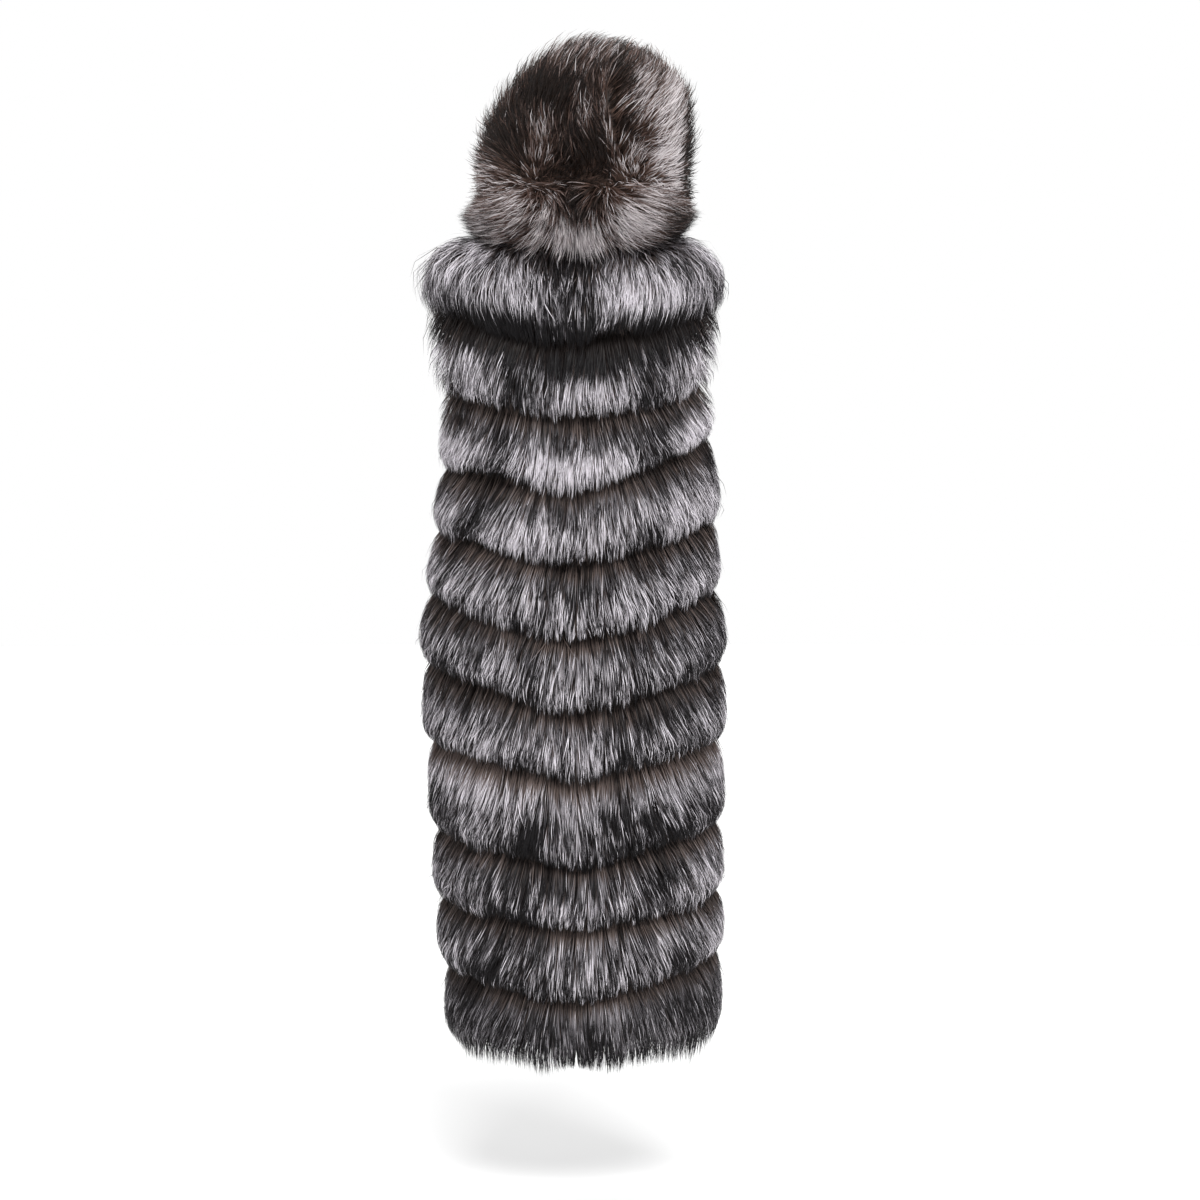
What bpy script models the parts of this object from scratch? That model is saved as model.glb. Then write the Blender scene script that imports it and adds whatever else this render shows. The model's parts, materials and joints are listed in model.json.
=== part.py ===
"""A long sleeveless fur vest with a hood, hollow and rounded as it is when worn.

The worn left is +X, the front faces -Y and the back faces +Y. The origin is the middle
of the neck, level with the shoulders. All sizes are in metres.

The skin side of the garment is a surface through the rings of BODY_SECTIONS. Fur strips
lie on it like tiles: each starts thin under the strip above, swells, and ends in a lip
over the strip below. The hood is an egg shape cut open at the face. Each solid is a
piece of leather with its fur, out to where the fur ends.
"""

import math
from collections import namedtuple

import bmesh
import bpy
from mathutils import Matrix, Vector
from mathutils.geometry import tessellate_polygon

# Gaps
SEAM_GAP = 0.0003
LIP_CLEARANCE = 0.0020

# Body: rings from the neck seam down, as the garment's inside is worn.
# down: distance from the neck seam along the centre back, the same as -z from 0.32 on.
# left, right, back, front: how far the ring reaches from the middle to each side.
# z_side, z_back, z_front: heights of the ring at the shoulders, centre back and front.
Section = namedtuple("Section", "down left right back front z_side z_back z_front")
BODY_SECTIONS = (
    Section(0.00, 0.085, 0.085, 0.075, 0.085, 0.000, 0.012, -0.050),
    Section(0.04, 0.122, 0.120, 0.096, 0.100, -0.006, -0.026, -0.084),
    Section(0.08, 0.165, 0.158, 0.112, 0.113, -0.013, -0.070, -0.118),
    Section(0.12, 0.200, 0.190, 0.122, 0.122, -0.032, -0.114, -0.150),
    Section(0.16, 0.212, 0.199, 0.128, 0.129, -0.084, -0.157, -0.180),
    Section(0.20, 0.207, 0.195, 0.130, 0.134, -0.154, -0.200, -0.212),
    Section(0.25, 0.193, 0.187, 0.129, 0.137, -0.242, -0.250, -0.252),
    Section(0.32, 0.184, 0.185, 0.124, 0.136, -0.320, -0.320, -0.320),
    Section(0.40, 0.190, 0.192, 0.120, 0.131, -0.400, -0.400, -0.400),
    Section(0.50, 0.200, 0.191, 0.125, 0.128, -0.500, -0.500, -0.500),
    Section(0.62, 0.213, 0.200, 0.137, 0.128, -0.620, -0.620, -0.620),
    Section(0.74, 0.210, 0.201, 0.143, 0.129, -0.740, -0.740, -0.740),
    Section(0.90, 0.198, 0.198, 0.143, 0.131, -0.900, -0.900, -0.900),
    Section(1.05, 0.190, 0.198, 0.141, 0.132, -1.050, -1.050, -1.050),
    Section(1.17, 0.179, 0.198, 0.138, 0.131, -1.170, -1.170, -1.170),
    Section(1.25, 0.174, 0.192, 0.134, 0.128, -1.250, -1.250, -1.250),
    Section(1.33, 0.164, 0.180, 0.127, 0.122, -1.330, -1.330, -1.330),
)
RING_SQUARENESS = 2.3  # 2 is an ellipse, more is squarer

# Fur strips. Each tip is how far down the strip's lip ends: at the centre back, at the left
# and right side seams, and at the front edges. pile is the depth of the fur where it is
# fullest.
Strip = namedtuple("Strip", "tip_back tip_left tip_right tip_front pile")
STRIPS = (
    Strip(0.166, 0.170, 0.168, 0.182, 0.044),
    Strip(0.286, 0.248, 0.242, 0.258, 0.038),
    Strip(0.402, 0.350, 0.300, 0.356, 0.039),
    Strip(0.522, 0.452, 0.432, 0.466, 0.040),
    Strip(0.638, 0.550, 0.545, 0.572, 0.041),
    Strip(0.748, 0.654, 0.658, 0.682, 0.042),
    Strip(0.853, 0.783, 0.780, 0.806, 0.041),
    Strip(0.992, 0.922, 0.912, 0.942, 0.041),
    Strip(1.088, 1.032, 1.024, 1.052, 0.041),
    Strip(1.202, 1.138, 1.116, 1.152, 0.041),
    Strip(1.300, 1.254, 1.250, 1.272, 0.038),
)
V_SHARPNESS = 0.85  # 1 is a straight V across the back, less bends it to a sharper point
OVERHANG = 0.024  # how far a lip hangs over the strip below
HEM_OVERHANG = 0.034
EDGE_PILE = 0.010  # depth of the fur where a strip starts under its neighbour
NECK_LEAN = 0.004  # the yoke starts as a thin edge that leans away from the neck
NECK_EDGE = 0.0045
TIP_THICKNESS = 0.007
TIP_SLANT = 0.002  # the outer side ends this far above the tip
HEM_TIP = 0.45  # depth of the hem's tip, as a share of pile
# Depth of the fur along a strip, from its top edge, 0, to its tip, 1, as a share of pile.
Swell = namedtuple("Swell", "along share")
SWELLS = (
    Swell(0.08, 0.36),
    Swell(0.30, 0.68),
    Swell(0.56, 0.91),
    Swell(0.80, 1.00),
    Swell(0.93, 0.88),
)
INSIDE_STEPS = 3

# Armholes
ARMHOLE_TOP = 0.118
ARMHOLE_BOTTOM = 0.276
ARMHOLE_ROUNDNESS = 0.8  # 1 is an almond, less is rounder at the top and bottom
ARMHOLE_BACK = math.radians(27)  # cut into the back, as an angle round the body
ARMHOLE_FRONT = math.radians(29)
ARMHOLE_SPREAD = 0.016  # how far the fur leans out over the armhole's edge
SPREAD_FROM = 0.75  # the spread starts this far towards the armhole

# Front edges, which nearly meet
FRONT_GAP_TOP = 0.014
FRONT_GAP_HEM = 0.034

BACK_STEPS = 18
FRONT_STEPS = 8

# Hood: an egg shape that turns and leans a little to the worn right
HOOD_MIDDLE = Vector((-0.010, 0.004, 0.135))
HOOD_TURN = math.radians(-15)
TURN_FROM = -0.12  # the turn starts this high against the hood's middle and is full at TURN_TO
TURN_TO = 0.08
HOOD_LEAN = 0.038  # how far the crown leans, growing from LEAN_FROM to LEAN_TO
LEAN_FROM = -0.035
LEAN_TO = 0.175
HOOD_SIDE = 0.133
HOOD_BACK = 0.132
HOOD_FRONT = 0.128
HOOD_UP = 0.165
HOOD_DOWN = 0.320
HOOD_SQUARENESS = 2.25
HOOD_PILE = 0.043
HOOD_SEAM_PILE = 0.038
SEAM_FROM = 0.85  # share of an arch's height from which the fur thins towards the seam
HOOD_EDGE_PILE = 0.030
EDGE_FROM = 0.80  # share of the way to the face from which the fur thins towards the edge
BASE_TO = 0.15  # share of an arch's height up to which the fur thins towards the nape band
NAPE_LIFT = math.radians(-20)  # height of the hood's base at the nape, seen from its middle
CHIN_LIFT = math.radians(-44)
CHIN_ANGLE = math.radians(150)  # how far round the base the face opening starts
BRIM_LEAN = math.radians(42)  # from straight up, forward to the top of the face opening
# The arches' middles: how far round the last one stands, how far out and how high they pull.
ARCH_ANGLE = math.radians(107)
ARCH_OUT = (0.94, 1.55, 1.15)  # at the nape, at the face, and added half way
ARCH_HIGH = (-0.34, 0.12, 2.44)
ARCH_STEPS = 11

# Nape band
BAND_TOP_PILE = 0.040
BAND_LIP_BACK = 0.058
BAND_LIP_SIDE = 0.082
BAND_TIP_THICKNESS = 0.012
BAND_TIP_SLANT = 0.004
BAND_BULGE = 0.012

# Brim: outline across the strip. forward is away from the hood, out is away from the head.
BrimPoint = namedtuple("BrimPoint", "forward out")
BRIM_OUTLINE = (
    BrimPoint(0.000, 0.000),
    BrimPoint(0.014, -0.009),
    BrimPoint(0.030, -0.006),
    BrimPoint(0.040, 0.008),
    BrimPoint(0.038, 0.026),
    BrimPoint(0.024, 0.039),
    BrimPoint(0.000, 0.030),
)
BRIM_AT_CHIN = 0.62  # size of the brim at the chin, against its size at the top
BRIM_FULL_AT = 0.5  # share of the height at which the brim has its full size

CREASE_ANGLE = math.radians(50)  # edges sharper than this show as creases
SAME_POINT = 1e-6

# Colours
SILVER_FUR = (0.30, 0.285, 0.275)
GREY_FUR = (0.22, 0.21, 0.205)
DARK_FUR = (0.085, 0.072, 0.066)
BROWN_FUR = (0.115, 0.095, 0.082)
FUR_ROUGHNESS = 0.75


def clear_scene():
    for thing in list(bpy.data.objects):
        bpy.data.objects.remove(thing, do_unlink=True)


def fur_material(name, colour):
    material = bpy.data.materials.new(name)
    material.use_nodes = True
    shader = material.node_tree.nodes["Principled BSDF"]
    shader.inputs["Base Color"].default_value = (*colour, 1)
    shader.inputs["Roughness"].default_value = FUR_ROUGHNESS
    shader.inputs["Metallic"].default_value = 0
    return material


# Shapes that follow a table


def rise(column, i):
    """The straight slope from row i to the next."""
    here, after = BODY_SECTIONS[i : i + 2]
    return (getattr(after, column) - getattr(here, column)) / (after.down - here.down)


def slope_at(column, i):
    """The smooth slope at row i, flat where the column turns, straight on at the table's ends."""
    if i == 0:
        return rise(column, 0)
    if i == len(BODY_SECTIONS) - 1:
        return rise(column, i - 1)
    rise_in, rise_out = rise(column, i - 1), rise(column, i)
    if rise_in * rise_out <= 0:
        return 0.0
    return 2 * rise_in * rise_out / (rise_in + rise_out)


def read(column, down):
    """A column of BODY_SECTIONS at any distance down, along a smooth curve."""
    rows = BODY_SECTIONS
    i = max(k for k in range(len(rows) - 1) if rows[k].down <= max(down, 0.0))
    width = rows[i + 1].down - rows[i].down
    t = (down - rows[i].down) / width
    start, stop = getattr(rows[i], column), getattr(rows[i + 1], column)
    leave, arrive = slope_at(column, i) * width, slope_at(column, i + 1) * width
    return (
        start * (2 * t**3 - 3 * t**2 + 1)
        + leave * (t**3 - 2 * t**2 + t)
        + stop * (3 * t**2 - 2 * t**3)
        + arrive * (t**3 - t**2)
    )


def bowed(value, squareness):
    """A sine or cosine drawn out, so that a ring through it is squarer than an ellipse."""
    return math.copysign(abs(value) ** (2 / squareness), value)


# The body surface


def body_point(angle, down):
    """On the skin side. angle runs from the centre back, 0, over the left side, +90 degrees."""
    across, along = math.sin(angle), math.cos(angle)
    reach_x = read("left" if across > 0 else "right", down)
    reach_y = read("back" if along > 0 else "front", down)
    middle_z = read("z_back" if along > 0 else "z_front", down)
    return Vector((
        reach_x * bowed(across, RING_SQUARENESS),
        reach_y * bowed(along, RING_SQUARENESS),
        read("z_side", down) * across**2 + middle_z * along**2,
    ))


def body_frame(angle, down):
    """The point, the outward normal and the direction round the body, towards more angle."""
    small_turn = 0.004
    small_drop = 0.002
    before, after = body_point(angle - small_turn, down), body_point(angle + small_turn, down)
    above, below = body_point(angle, down - small_drop), body_point(angle, down + small_drop)
    round_body = (after - before).normalized()
    outward = (after - before).cross(above - below).normalized()
    point = body_point(angle, down)
    if outward.dot(Vector((point.x, point.y, 0.1))) < 0:
        outward.negate()
    return point, outward, round_body


def armhole_depth(down):
    """0 above and below the armhole, 1 at its widest."""
    share = (down - ARMHOLE_TOP) / (ARMHOLE_BOTTOM - ARMHOLE_TOP)
    return math.sin(math.pi * share) ** ARMHOLE_ROUNDNESS if 0 < share < 1 else 0.0


def front_edge_angle(down):
    """Where the front ends, so that the two front edges leave their gap."""
    share = down / BODY_SECTIONS[-1].down
    half_gap = (FRONT_GAP_TOP + (FRONT_GAP_HEM - FRONT_GAP_TOP) * share) / 2
    return math.pi - math.asin((half_gap / read("left", down)) ** (RING_SQUARENESS / 2))


class BackPanel:
    """The back, from side seam to side seam. u runs from -1, the right, to 1, the left."""

    places = [2 * i / BACK_STEPS - 1 for i in range(BACK_STEPS + 1)]

    @staticmethod
    def angle(u, down):
        return u * (math.pi / 2 - ARMHOLE_BACK * armhole_depth(down) * abs(u))

    @staticmethod
    def towards_armhole(u):
        return abs(u), math.copysign(1, u)

    @staticmethod
    def seam_side(u):
        return math.copysign(1, u) if abs(u) == 1 else 0

    @staticmethod
    def tip(strip, u):
        tip_side = strip.tip_left if u > 0 else strip.tip_right
        return strip.tip_back + (tip_side - strip.tip_back) * abs(u) ** V_SHARPNESS


class FrontPanel:
    """A front, from its side seam, u = 0, to its front edge, u = 1."""

    def __init__(self, side):
        self.side = side  # 1 is the worn left, -1 the worn right
        self.places = [i / FRONT_STEPS for i in range(FRONT_STEPS + 1)][::side]

    def angle(self, u, down):
        cut = ARMHOLE_FRONT * armhole_depth(down) * (1 - u) ** 2
        start = math.pi / 2
        return self.side * (start + u * (front_edge_angle(down) - start) + cut)

    def towards_armhole(self, u):
        return 1 - u, -self.side

    def seam_side(self, u):
        return -self.side if u == 0 else 0

    def tip(self, strip, u):
        tip_side = strip.tip_left if self.side == 1 else strip.tip_right
        return tip_side + (strip.tip_front - tip_side) * u


# Fur strips


def top_seam(panel, number, u):
    """How far down a strip starts."""
    return 0.0 if number == 0 else panel.tip(STRIPS[number - 1], u) - OVERHANG


def fur_point(panel, u, down, depth):
    """A point in the fur, depth above the skin side, leaning out over an armhole's edge."""
    point, outward, round_body = body_frame(panel.angle(u, down), down)
    nearness, direction = panel.towards_armhole(u)
    lean = max(0.0, (nearness - SPREAD_FROM) / (1 - SPREAD_FROM))
    spread = ARMHOLE_SPREAD * lean**2 * armhole_depth(down) * depth / STRIPS[1].pile
    shift = direction * spread - panel.seam_side(u) * SEAM_GAP / 2 * (armhole_depth(down) == 0)
    return point + depth * outward + shift * round_body


def outer_places(panel, number, u):
    """(down, depth) of the strip's outer side, from its top edge to just above its tip."""
    strip = STRIPS[number]
    top = top_seam(panel, number, u)
    length = panel.tip(strip, u) - top
    swells = [(top + length * swell.along, strip.pile * swell.share) for swell in SWELLS]
    edge = (NECK_LEAN, NECK_EDGE) if number == 0 else (top + SEAM_GAP / 2, EDGE_PILE)
    return [edge, *swells]


def depth_at(places, down):
    """The depth of the outer side at a distance down, between its places."""
    for (start, low), (stop, high) in zip(places, places[1:]):
        if down <= stop:
            return low + (high - low) * (down - start) / (stop - start)
    return places[-1][1]


def strip_outline(panel, number, u):
    """(down, depth) round a strip's section: inside, lip, then outside from tip to top."""
    strip = STRIPS[number]
    tip = panel.tip(strip, u)
    outer = outer_places(panel, number, u)
    top = top_seam(panel, number, u) + SEAM_GAP / 2
    if number + 1 == len(STRIPS):
        bottom = tip - HEM_OVERHANG
        lip = [(tip, HEM_TIP * strip.pile)]
    else:
        below = outer_places(panel, number + 1, u)
        bottom = tip - OVERHANG - SEAM_GAP / 2
        covered_down, covered_depth = below[1]
        lip = [
            (bottom, EDGE_PILE + LIP_CLEARANCE),
            (covered_down, covered_depth + LIP_CLEARANCE),
            (tip, depth_at(below, tip) + LIP_CLEARANCE),
        ]
    inside = [(top + (bottom - top) * i / INSIDE_STEPS, 0.0) for i in range(INSIDE_STEPS + 1)]
    end = (tip - TIP_SLANT, lip[-1][1] + TIP_THICKNESS)
    return [*inside, *lip, end, *reversed(outer)]


# Making solids


def finished(name, shape, material):
    """The object of a closed bmesh, with its faces turned outwards."""
    bmesh.ops.remove_doubles(shape, verts=shape.verts, dist=SAME_POINT)
    bmesh.ops.dissolve_degenerate(shape, dist=SAME_POINT, edges=shape.edges)
    bmesh.ops.recalc_face_normals(shape, faces=shape.faces)
    if shape.calc_volume(signed=True) < 0:
        bmesh.ops.reverse_faces(shape, faces=shape.faces)
    mesh = bpy.data.meshes.new(name)
    shape.to_mesh(mesh)
    shape.free()
    mesh.shade_smooth()
    mesh.set_sharp_from_angle(angle=CREASE_ANGLE)
    mesh.materials.append(material)
    piece = bpy.data.objects.new(name, mesh)
    bpy.context.scene.collection.objects.link(piece)
    return piece


def end_triangles(outline, turn):
    """Triangles that close an end, from its inside to its outside.

    The inside runs from point 0 to turn and the outside back from there, and the
    triangles step down both. They stay short on an end that bends in space.
    """
    inside = list(range(turn + 1))
    outside = list(range(len(outline) - 1, turn, -1))
    i = j = 0
    triangles = []
    while i < len(inside) - 1 or j < len(outside) - 1:
        next_inside = outline[inside[i + 1]][0] if i < len(inside) - 1 else math.inf
        next_outside = outline[outside[j + 1]][0] if j < len(outside) - 1 else math.inf
        if next_inside <= next_outside:
            triangles.append((inside[i], inside[i + 1], outside[j]))
            i += 1
        else:
            triangles.append((inside[i], outside[j + 1], outside[j]))
            j += 1
    return triangles


def solid_from_sections(name, sections, ends, keys, material):
    """One closed body through a row of outlines that have the same number of points.

    ends holds the triangles that close the first and the last outline. keys orders an
    outline's points. It sets which way each square is cut into two triangles, so that
    faces that lie against each other are cut alike.
    """
    shape = bmesh.new()
    rings = [[shape.verts.new(point) for point in section] for section in sections]
    for i, (ring, following) in enumerate(zip(rings, rings[1:])):
        for a in range(len(ring)):
            b = (a + 1) % len(ring)
            if keys[i][a] <= keys[i][b]:
                shape.faces.new((ring[a], ring[b], following[b]))
                shape.faces.new((ring[a], following[b], following[a]))
            else:
                shape.faces.new((ring[a], ring[b], following[a]))
                shape.faces.new((ring[b], following[b], following[a]))
    for ring, triangles in zip((rings[0], rings[-1]), ends):
        for corners in triangles:
            shape.faces.new([ring[corner] for corner in corners])
    return finished(name, shape, material)


def make_strip(name, panel, number, material):
    outlines = [strip_outline(panel, number, u) for u in panel.places]
    sections = [
        [fur_point(panel, u, down, depth) for down, depth in outline]
        for u, outline in zip(panel.places, outlines)
    ]
    keys = [[down + depth for down, depth in outline] for outline in outlines]
    outside_points = len(SWELLS) + 2  # the tip's end, the swells and the top edge
    turn = len(outlines[0]) - outside_points - 1
    ends = [end_triangles(outline, turn) for outline in (outlines[0], outlines[-1])]
    return solid_from_sections(name, sections, ends, keys, material)


# Hood


def hood_egg(direction):
    """The point and outward normal of the hood's skin side, from its middle, before its turn."""
    reach = Vector((
        HOOD_SIDE,
        HOOD_BACK if direction.y > 0 else HOOD_FRONT,
        HOOD_UP if direction.z > 0 else HOOD_DOWN,
    ))
    n = HOOD_SQUARENESS
    total = sum(abs(direction[k] / reach[k]) ** n for k in range(3))
    point = direction * total ** (-1 / n)
    steep = Vector([
        math.copysign(abs(point[k] / reach[k]) ** (n - 1) / reach[k], point[k]) for k in range(3)
    ])
    return point, steep.normalized()


def hood_columns():
    """Where the arches stand, 0 at the nape to 1 at the face, in step with the yoke's columns."""
    back = [i / (BACK_STEPS / 2) * 0.5 for i in range(BACK_STEPS // 2)]
    front = [0.5 + 0.5 * i / FRONT_STEPS for i in range(FRONT_STEPS + 1)]
    return back + front


def looking(angle, lift):
    return Vector((math.sin(angle) * math.cos(lift), math.cos(angle) * math.cos(lift), math.sin(lift)))


def arch_direction(place, up):
    """Direction from the hood's middle to a point of its skin side.

    place is 0 at the nape and 1 at the face, up is 0 at the base and 1 at the centre seam.
    """
    base = looking(CHIN_ANGLE * place, NAPE_LIFT + (CHIN_LIFT - NAPE_LIFT) * place**2)
    nape_lean = math.pi / 2 - NAPE_LIFT
    lean = nape_lean - (nape_lean + BRIM_LEAN) * place
    top = Vector((0, math.sin(lean), math.cos(lean)))
    out, high = (
        pull[0] * (1 - place) + pull[1] * place + pull[2] * place * (1 - place)
        for pull in (ARCH_OUT, ARCH_HIGH)
    )
    middle = Vector((out * math.sin(ARCH_ANGLE * place), out * math.cos(ARCH_ANGLE * place), high))
    if place == 0:
        return base
    return (base * (1 - up) ** 2 + middle * 2 * up * (1 - up) + top * up**2).normalized()


def hood_point(side, place, up, depth, aside=0.0):
    """A point in the hood's fur. aside moves it off the centre seam."""
    direction = arch_direction(place, up)
    direction.x *= side
    point, outward = hood_egg(direction)
    share = min(1.0, max(0.0, (point.z - TURN_FROM) / (TURN_TO - TURN_FROM)))
    turn = Matrix.Rotation(HOOD_TURN * share * share * (3 - 2 * share), 3, "Z")
    turned = turn @ (point + depth * outward + aside * Vector((side, 0, 0)))
    turned.x -= HOOD_LEAN * max(0.0, (turned.z - LEAN_FROM) / (LEAN_TO - LEAN_FROM)) ** 2
    return HOOD_MIDDLE + turned


def hood_pile(place, up):
    """Depth of the hood's fur, less at its seams and at the face."""
    if place == 0:
        return BAND_TOP_PILE
    at_seam = max(0.0, (up - SEAM_FROM) / (1 - SEAM_FROM))
    at_base = max(0.0, 1 - up / BASE_TO)
    at_face = max(0.0, (place - EDGE_FROM) / (1 - EDGE_FROM))
    depth = HOOD_PILE + (HOOD_SEAM_PILE - HOOD_PILE) * at_seam
    depth += (BAND_TOP_PILE - depth) * at_base
    return depth + (HOOD_EDGE_PILE - depth) * at_face


def make_hood_half(name, side, material):
    """Arches from the base to the centre seam, inside and outside, closed at the edges."""
    heights = [i / ARCH_STEPS for i in range(ARCH_STEPS + 1)]
    shape = bmesh.new()
    layers = []
    for outside in (False, True):
        grid = []
        for place in hood_columns():
            column = []
            for up in heights:
                depth = hood_pile(place, up) if outside else 0.0
                aside = SEAM_GAP / 2 * (up == 1 or place == 0)
                column.append(shape.verts.new(hood_point(side, place, up, depth, aside)))
            grid.append(column)
        layers.append(grid)
    inner, outer = layers
    for grid in layers:
        for left, right in zip(grid, grid[1:]):
            for a in range(ARCH_STEPS):
                shape.faces.new((left[a], left[a + 1], right[a + 1]))
                shape.faces.new((left[a], right[a + 1], right[a]))
    base = ([column[0] for column in inner], [column[0] for column in outer])
    centre_seam = ([column[-1] for column in inner], [column[-1] for column in outer])
    face_edge = (inner[-1], outer[-1])
    for low, high in (base, centre_seam, face_edge):
        for a in range(len(low) - 1):
            b = a + 1
            # Faces that lie against each other are cut alike, on the two halves' seam as well.
            diagonal, corners = (low[a], high[b]), (low[b], high[a])
            if side == -1 and low is not centre_seam[0]:
                diagonal, corners = corners, diagonal
            for corner in corners:
                shape.faces.new((corner, *diagonal))
    return finished(name, shape, material)


def yoke_panel_and_place(side, place):
    """The panel and its u under a place of the hood's base."""
    if place < 0.5:
        return BackPanel, side * place * 2
    return FrontPanel(side), place * 2 - 1


def band_outline(side, place):
    """Points round the nape band's section, from the hood's base to the neck seam and back."""
    panel, u = yoke_panel_and_place(side, place)
    angle = side * math.pi * place
    yoke = outer_places(panel, 0, u)
    lip_down = BAND_LIP_BACK + (BAND_LIP_SIDE - BAND_LIP_BACK) * math.sin(angle) ** 2

    def on_yoke(down, depth):
        point, outward, _ = body_frame(panel.angle(u, down), down)
        return point + depth * outward

    covered = [on_yoke(down, depth + LIP_CLEARANCE) for down, depth in yoke[1:3]]
    tip_depth = depth_at(yoke, lip_down) + LIP_CLEARANCE
    tip = on_yoke(lip_down, tip_depth)
    drop = Vector((0, 0, -SEAM_GAP))
    top_inner = hood_point(side, place, 0, 0.0) + drop
    top_outer = hood_point(side, place, 0, hood_pile(place, 0)) + drop
    neck_inner = on_yoke(0, 0.0) - drop / 2
    neck_outer = on_yoke(NECK_LEAN, NECK_EDGE) - 2 * drop
    tip_outer = on_yoke(lip_down - BAND_TIP_SLANT, tip_depth + BAND_TIP_THICKNESS)
    middle_inner = (top_inner + neck_inner) / 2
    middle_outer = (top_outer + tip_outer) / 2
    bulge = middle_outer + BAND_BULGE * (middle_outer - middle_inner).normalized()
    inner = [top_inner, middle_inner, neck_inner]
    return [*inner, neck_outer, *covered, tip, tip_outer, bulge, top_outer]


def make_band(name, material):
    columns = hood_columns()
    sections = [band_outline(-1, place) for place in reversed(columns[1:])]
    sections += [band_outline(1, place) for place in columns]
    order = list(range(len(sections[0])))
    ends = []
    for section in (sections[0], sections[-1]):
        flat = [Vector((math.hypot(point.x, point.y), point.z, 0)) for point in section]
        ends.append(tessellate_polygon([flat]))
    return solid_from_sections(name, sections, ends, [order] * len(sections), material)


def brim_outline(side, up):
    """Points round the brim's section, against the hood's face edge."""
    small_depth = 0.01
    just_behind = 0.97
    here = hood_point(side, 1, up, 0.0)
    outward = (hood_point(side, 1, up, small_depth) - here).normalized()
    forward = here - hood_point(side, just_behind, up, 0.0)
    forward = (forward - forward.dot(outward) * outward).normalized()
    size = BRIM_AT_CHIN + (1 - BRIM_AT_CHIN) * min(1.0, up / BRIM_FULL_AT)
    points = []
    for place in BRIM_OUTLINE:
        reach = place.forward * size + SEAM_GAP
        points.append(here + forward * reach + outward * place.out)
    return points


def make_brim(name, material):
    heights = [i / ARCH_STEPS for i in range(ARCH_STEPS + 1)]
    sections = [brim_outline(1, up) for up in heights]
    sections += [brim_outline(-1, up) for up in reversed(heights[:-1])]
    order = list(range(len(BRIM_OUTLINE)))
    end = tessellate_polygon([[Vector((*point, 0)) for point in BRIM_OUTLINE]])
    return solid_from_sections(name, sections, (end, end), [order] * len(sections), material)


def main():
    clear_scene()
    for number in range(len(STRIPS)):
        shade = SILVER_FUR if number < len(STRIPS) - 1 else GREY_FUR
        row = f"row_{number + 1:02d}"
        make_strip(f"back_{row}", BackPanel, number, fur_material(f"fur back {row}", shade))
        for side, word in ((1, "left"), (-1, "right")):
            name = f"front_{word}_{row}"
            make_strip(name, FrontPanel(side), number, fur_material(f"fur {name}", shade))
    make_hood_half("hood_left", 1, fur_material("fur hood left", BROWN_FUR))
    make_hood_half("hood_right", -1, fur_material("fur hood right", BROWN_FUR))
    make_band("hood_nape_band", fur_material("fur nape band", GREY_FUR))
    make_brim("hood_brim", fur_material("fur brim", DARK_FUR))


main()
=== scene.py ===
# %% [markdown]
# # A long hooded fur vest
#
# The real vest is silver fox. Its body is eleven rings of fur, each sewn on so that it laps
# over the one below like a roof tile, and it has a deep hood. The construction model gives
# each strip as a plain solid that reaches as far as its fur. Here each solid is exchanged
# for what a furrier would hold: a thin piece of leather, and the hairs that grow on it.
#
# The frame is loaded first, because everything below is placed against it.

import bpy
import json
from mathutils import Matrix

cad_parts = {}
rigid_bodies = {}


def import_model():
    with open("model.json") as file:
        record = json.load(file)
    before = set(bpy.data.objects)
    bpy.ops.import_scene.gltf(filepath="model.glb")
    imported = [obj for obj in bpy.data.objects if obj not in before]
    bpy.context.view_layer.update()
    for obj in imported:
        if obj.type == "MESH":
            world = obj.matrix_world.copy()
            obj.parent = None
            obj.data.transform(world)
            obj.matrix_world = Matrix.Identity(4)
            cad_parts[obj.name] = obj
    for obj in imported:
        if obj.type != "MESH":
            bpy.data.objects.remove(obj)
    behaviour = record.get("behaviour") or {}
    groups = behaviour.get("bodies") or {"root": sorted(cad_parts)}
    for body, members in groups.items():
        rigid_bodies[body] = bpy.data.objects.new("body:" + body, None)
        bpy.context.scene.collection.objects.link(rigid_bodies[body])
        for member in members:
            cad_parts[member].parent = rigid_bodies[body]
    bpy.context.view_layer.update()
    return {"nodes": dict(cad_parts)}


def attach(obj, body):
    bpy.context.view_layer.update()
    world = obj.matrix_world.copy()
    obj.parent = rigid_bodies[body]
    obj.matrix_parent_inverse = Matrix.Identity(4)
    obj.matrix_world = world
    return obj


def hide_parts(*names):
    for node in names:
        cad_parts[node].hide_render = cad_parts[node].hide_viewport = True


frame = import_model()

# %% Libraries
import json
import math
from collections import namedtuple

import bmesh
import bpy
import numpy as np
from mathutils import Vector


def add_object(name, data):
    made = bpy.data.objects.new(name, data)
    bpy.context.scene.collection.objects.link(made)
    return made


def aimed(direction):
    """The turn that makes a camera or a lamp look in a direction."""
    return direction.to_track_quat("-Z", "Y").to_euler()


print("solids in the frame:", len(frame["nodes"]))

# %% [markdown]
# ## Camera
#
# The vest is seen from straight behind, from a few metres away and about waist high, so the
# back is almost free of perspective. The lens follows from two lengths that can be measured:
# how far away the camera stands, and how much of the room the square frame shows there.

# %% Camera
SHOWN_SPAN = 1.931
CAMERA_AWAY = 4.6
CAMERA_LIFT = 0.06
CAMERA_AIM = Vector((-0.037, 0.0, -0.563))

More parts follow.
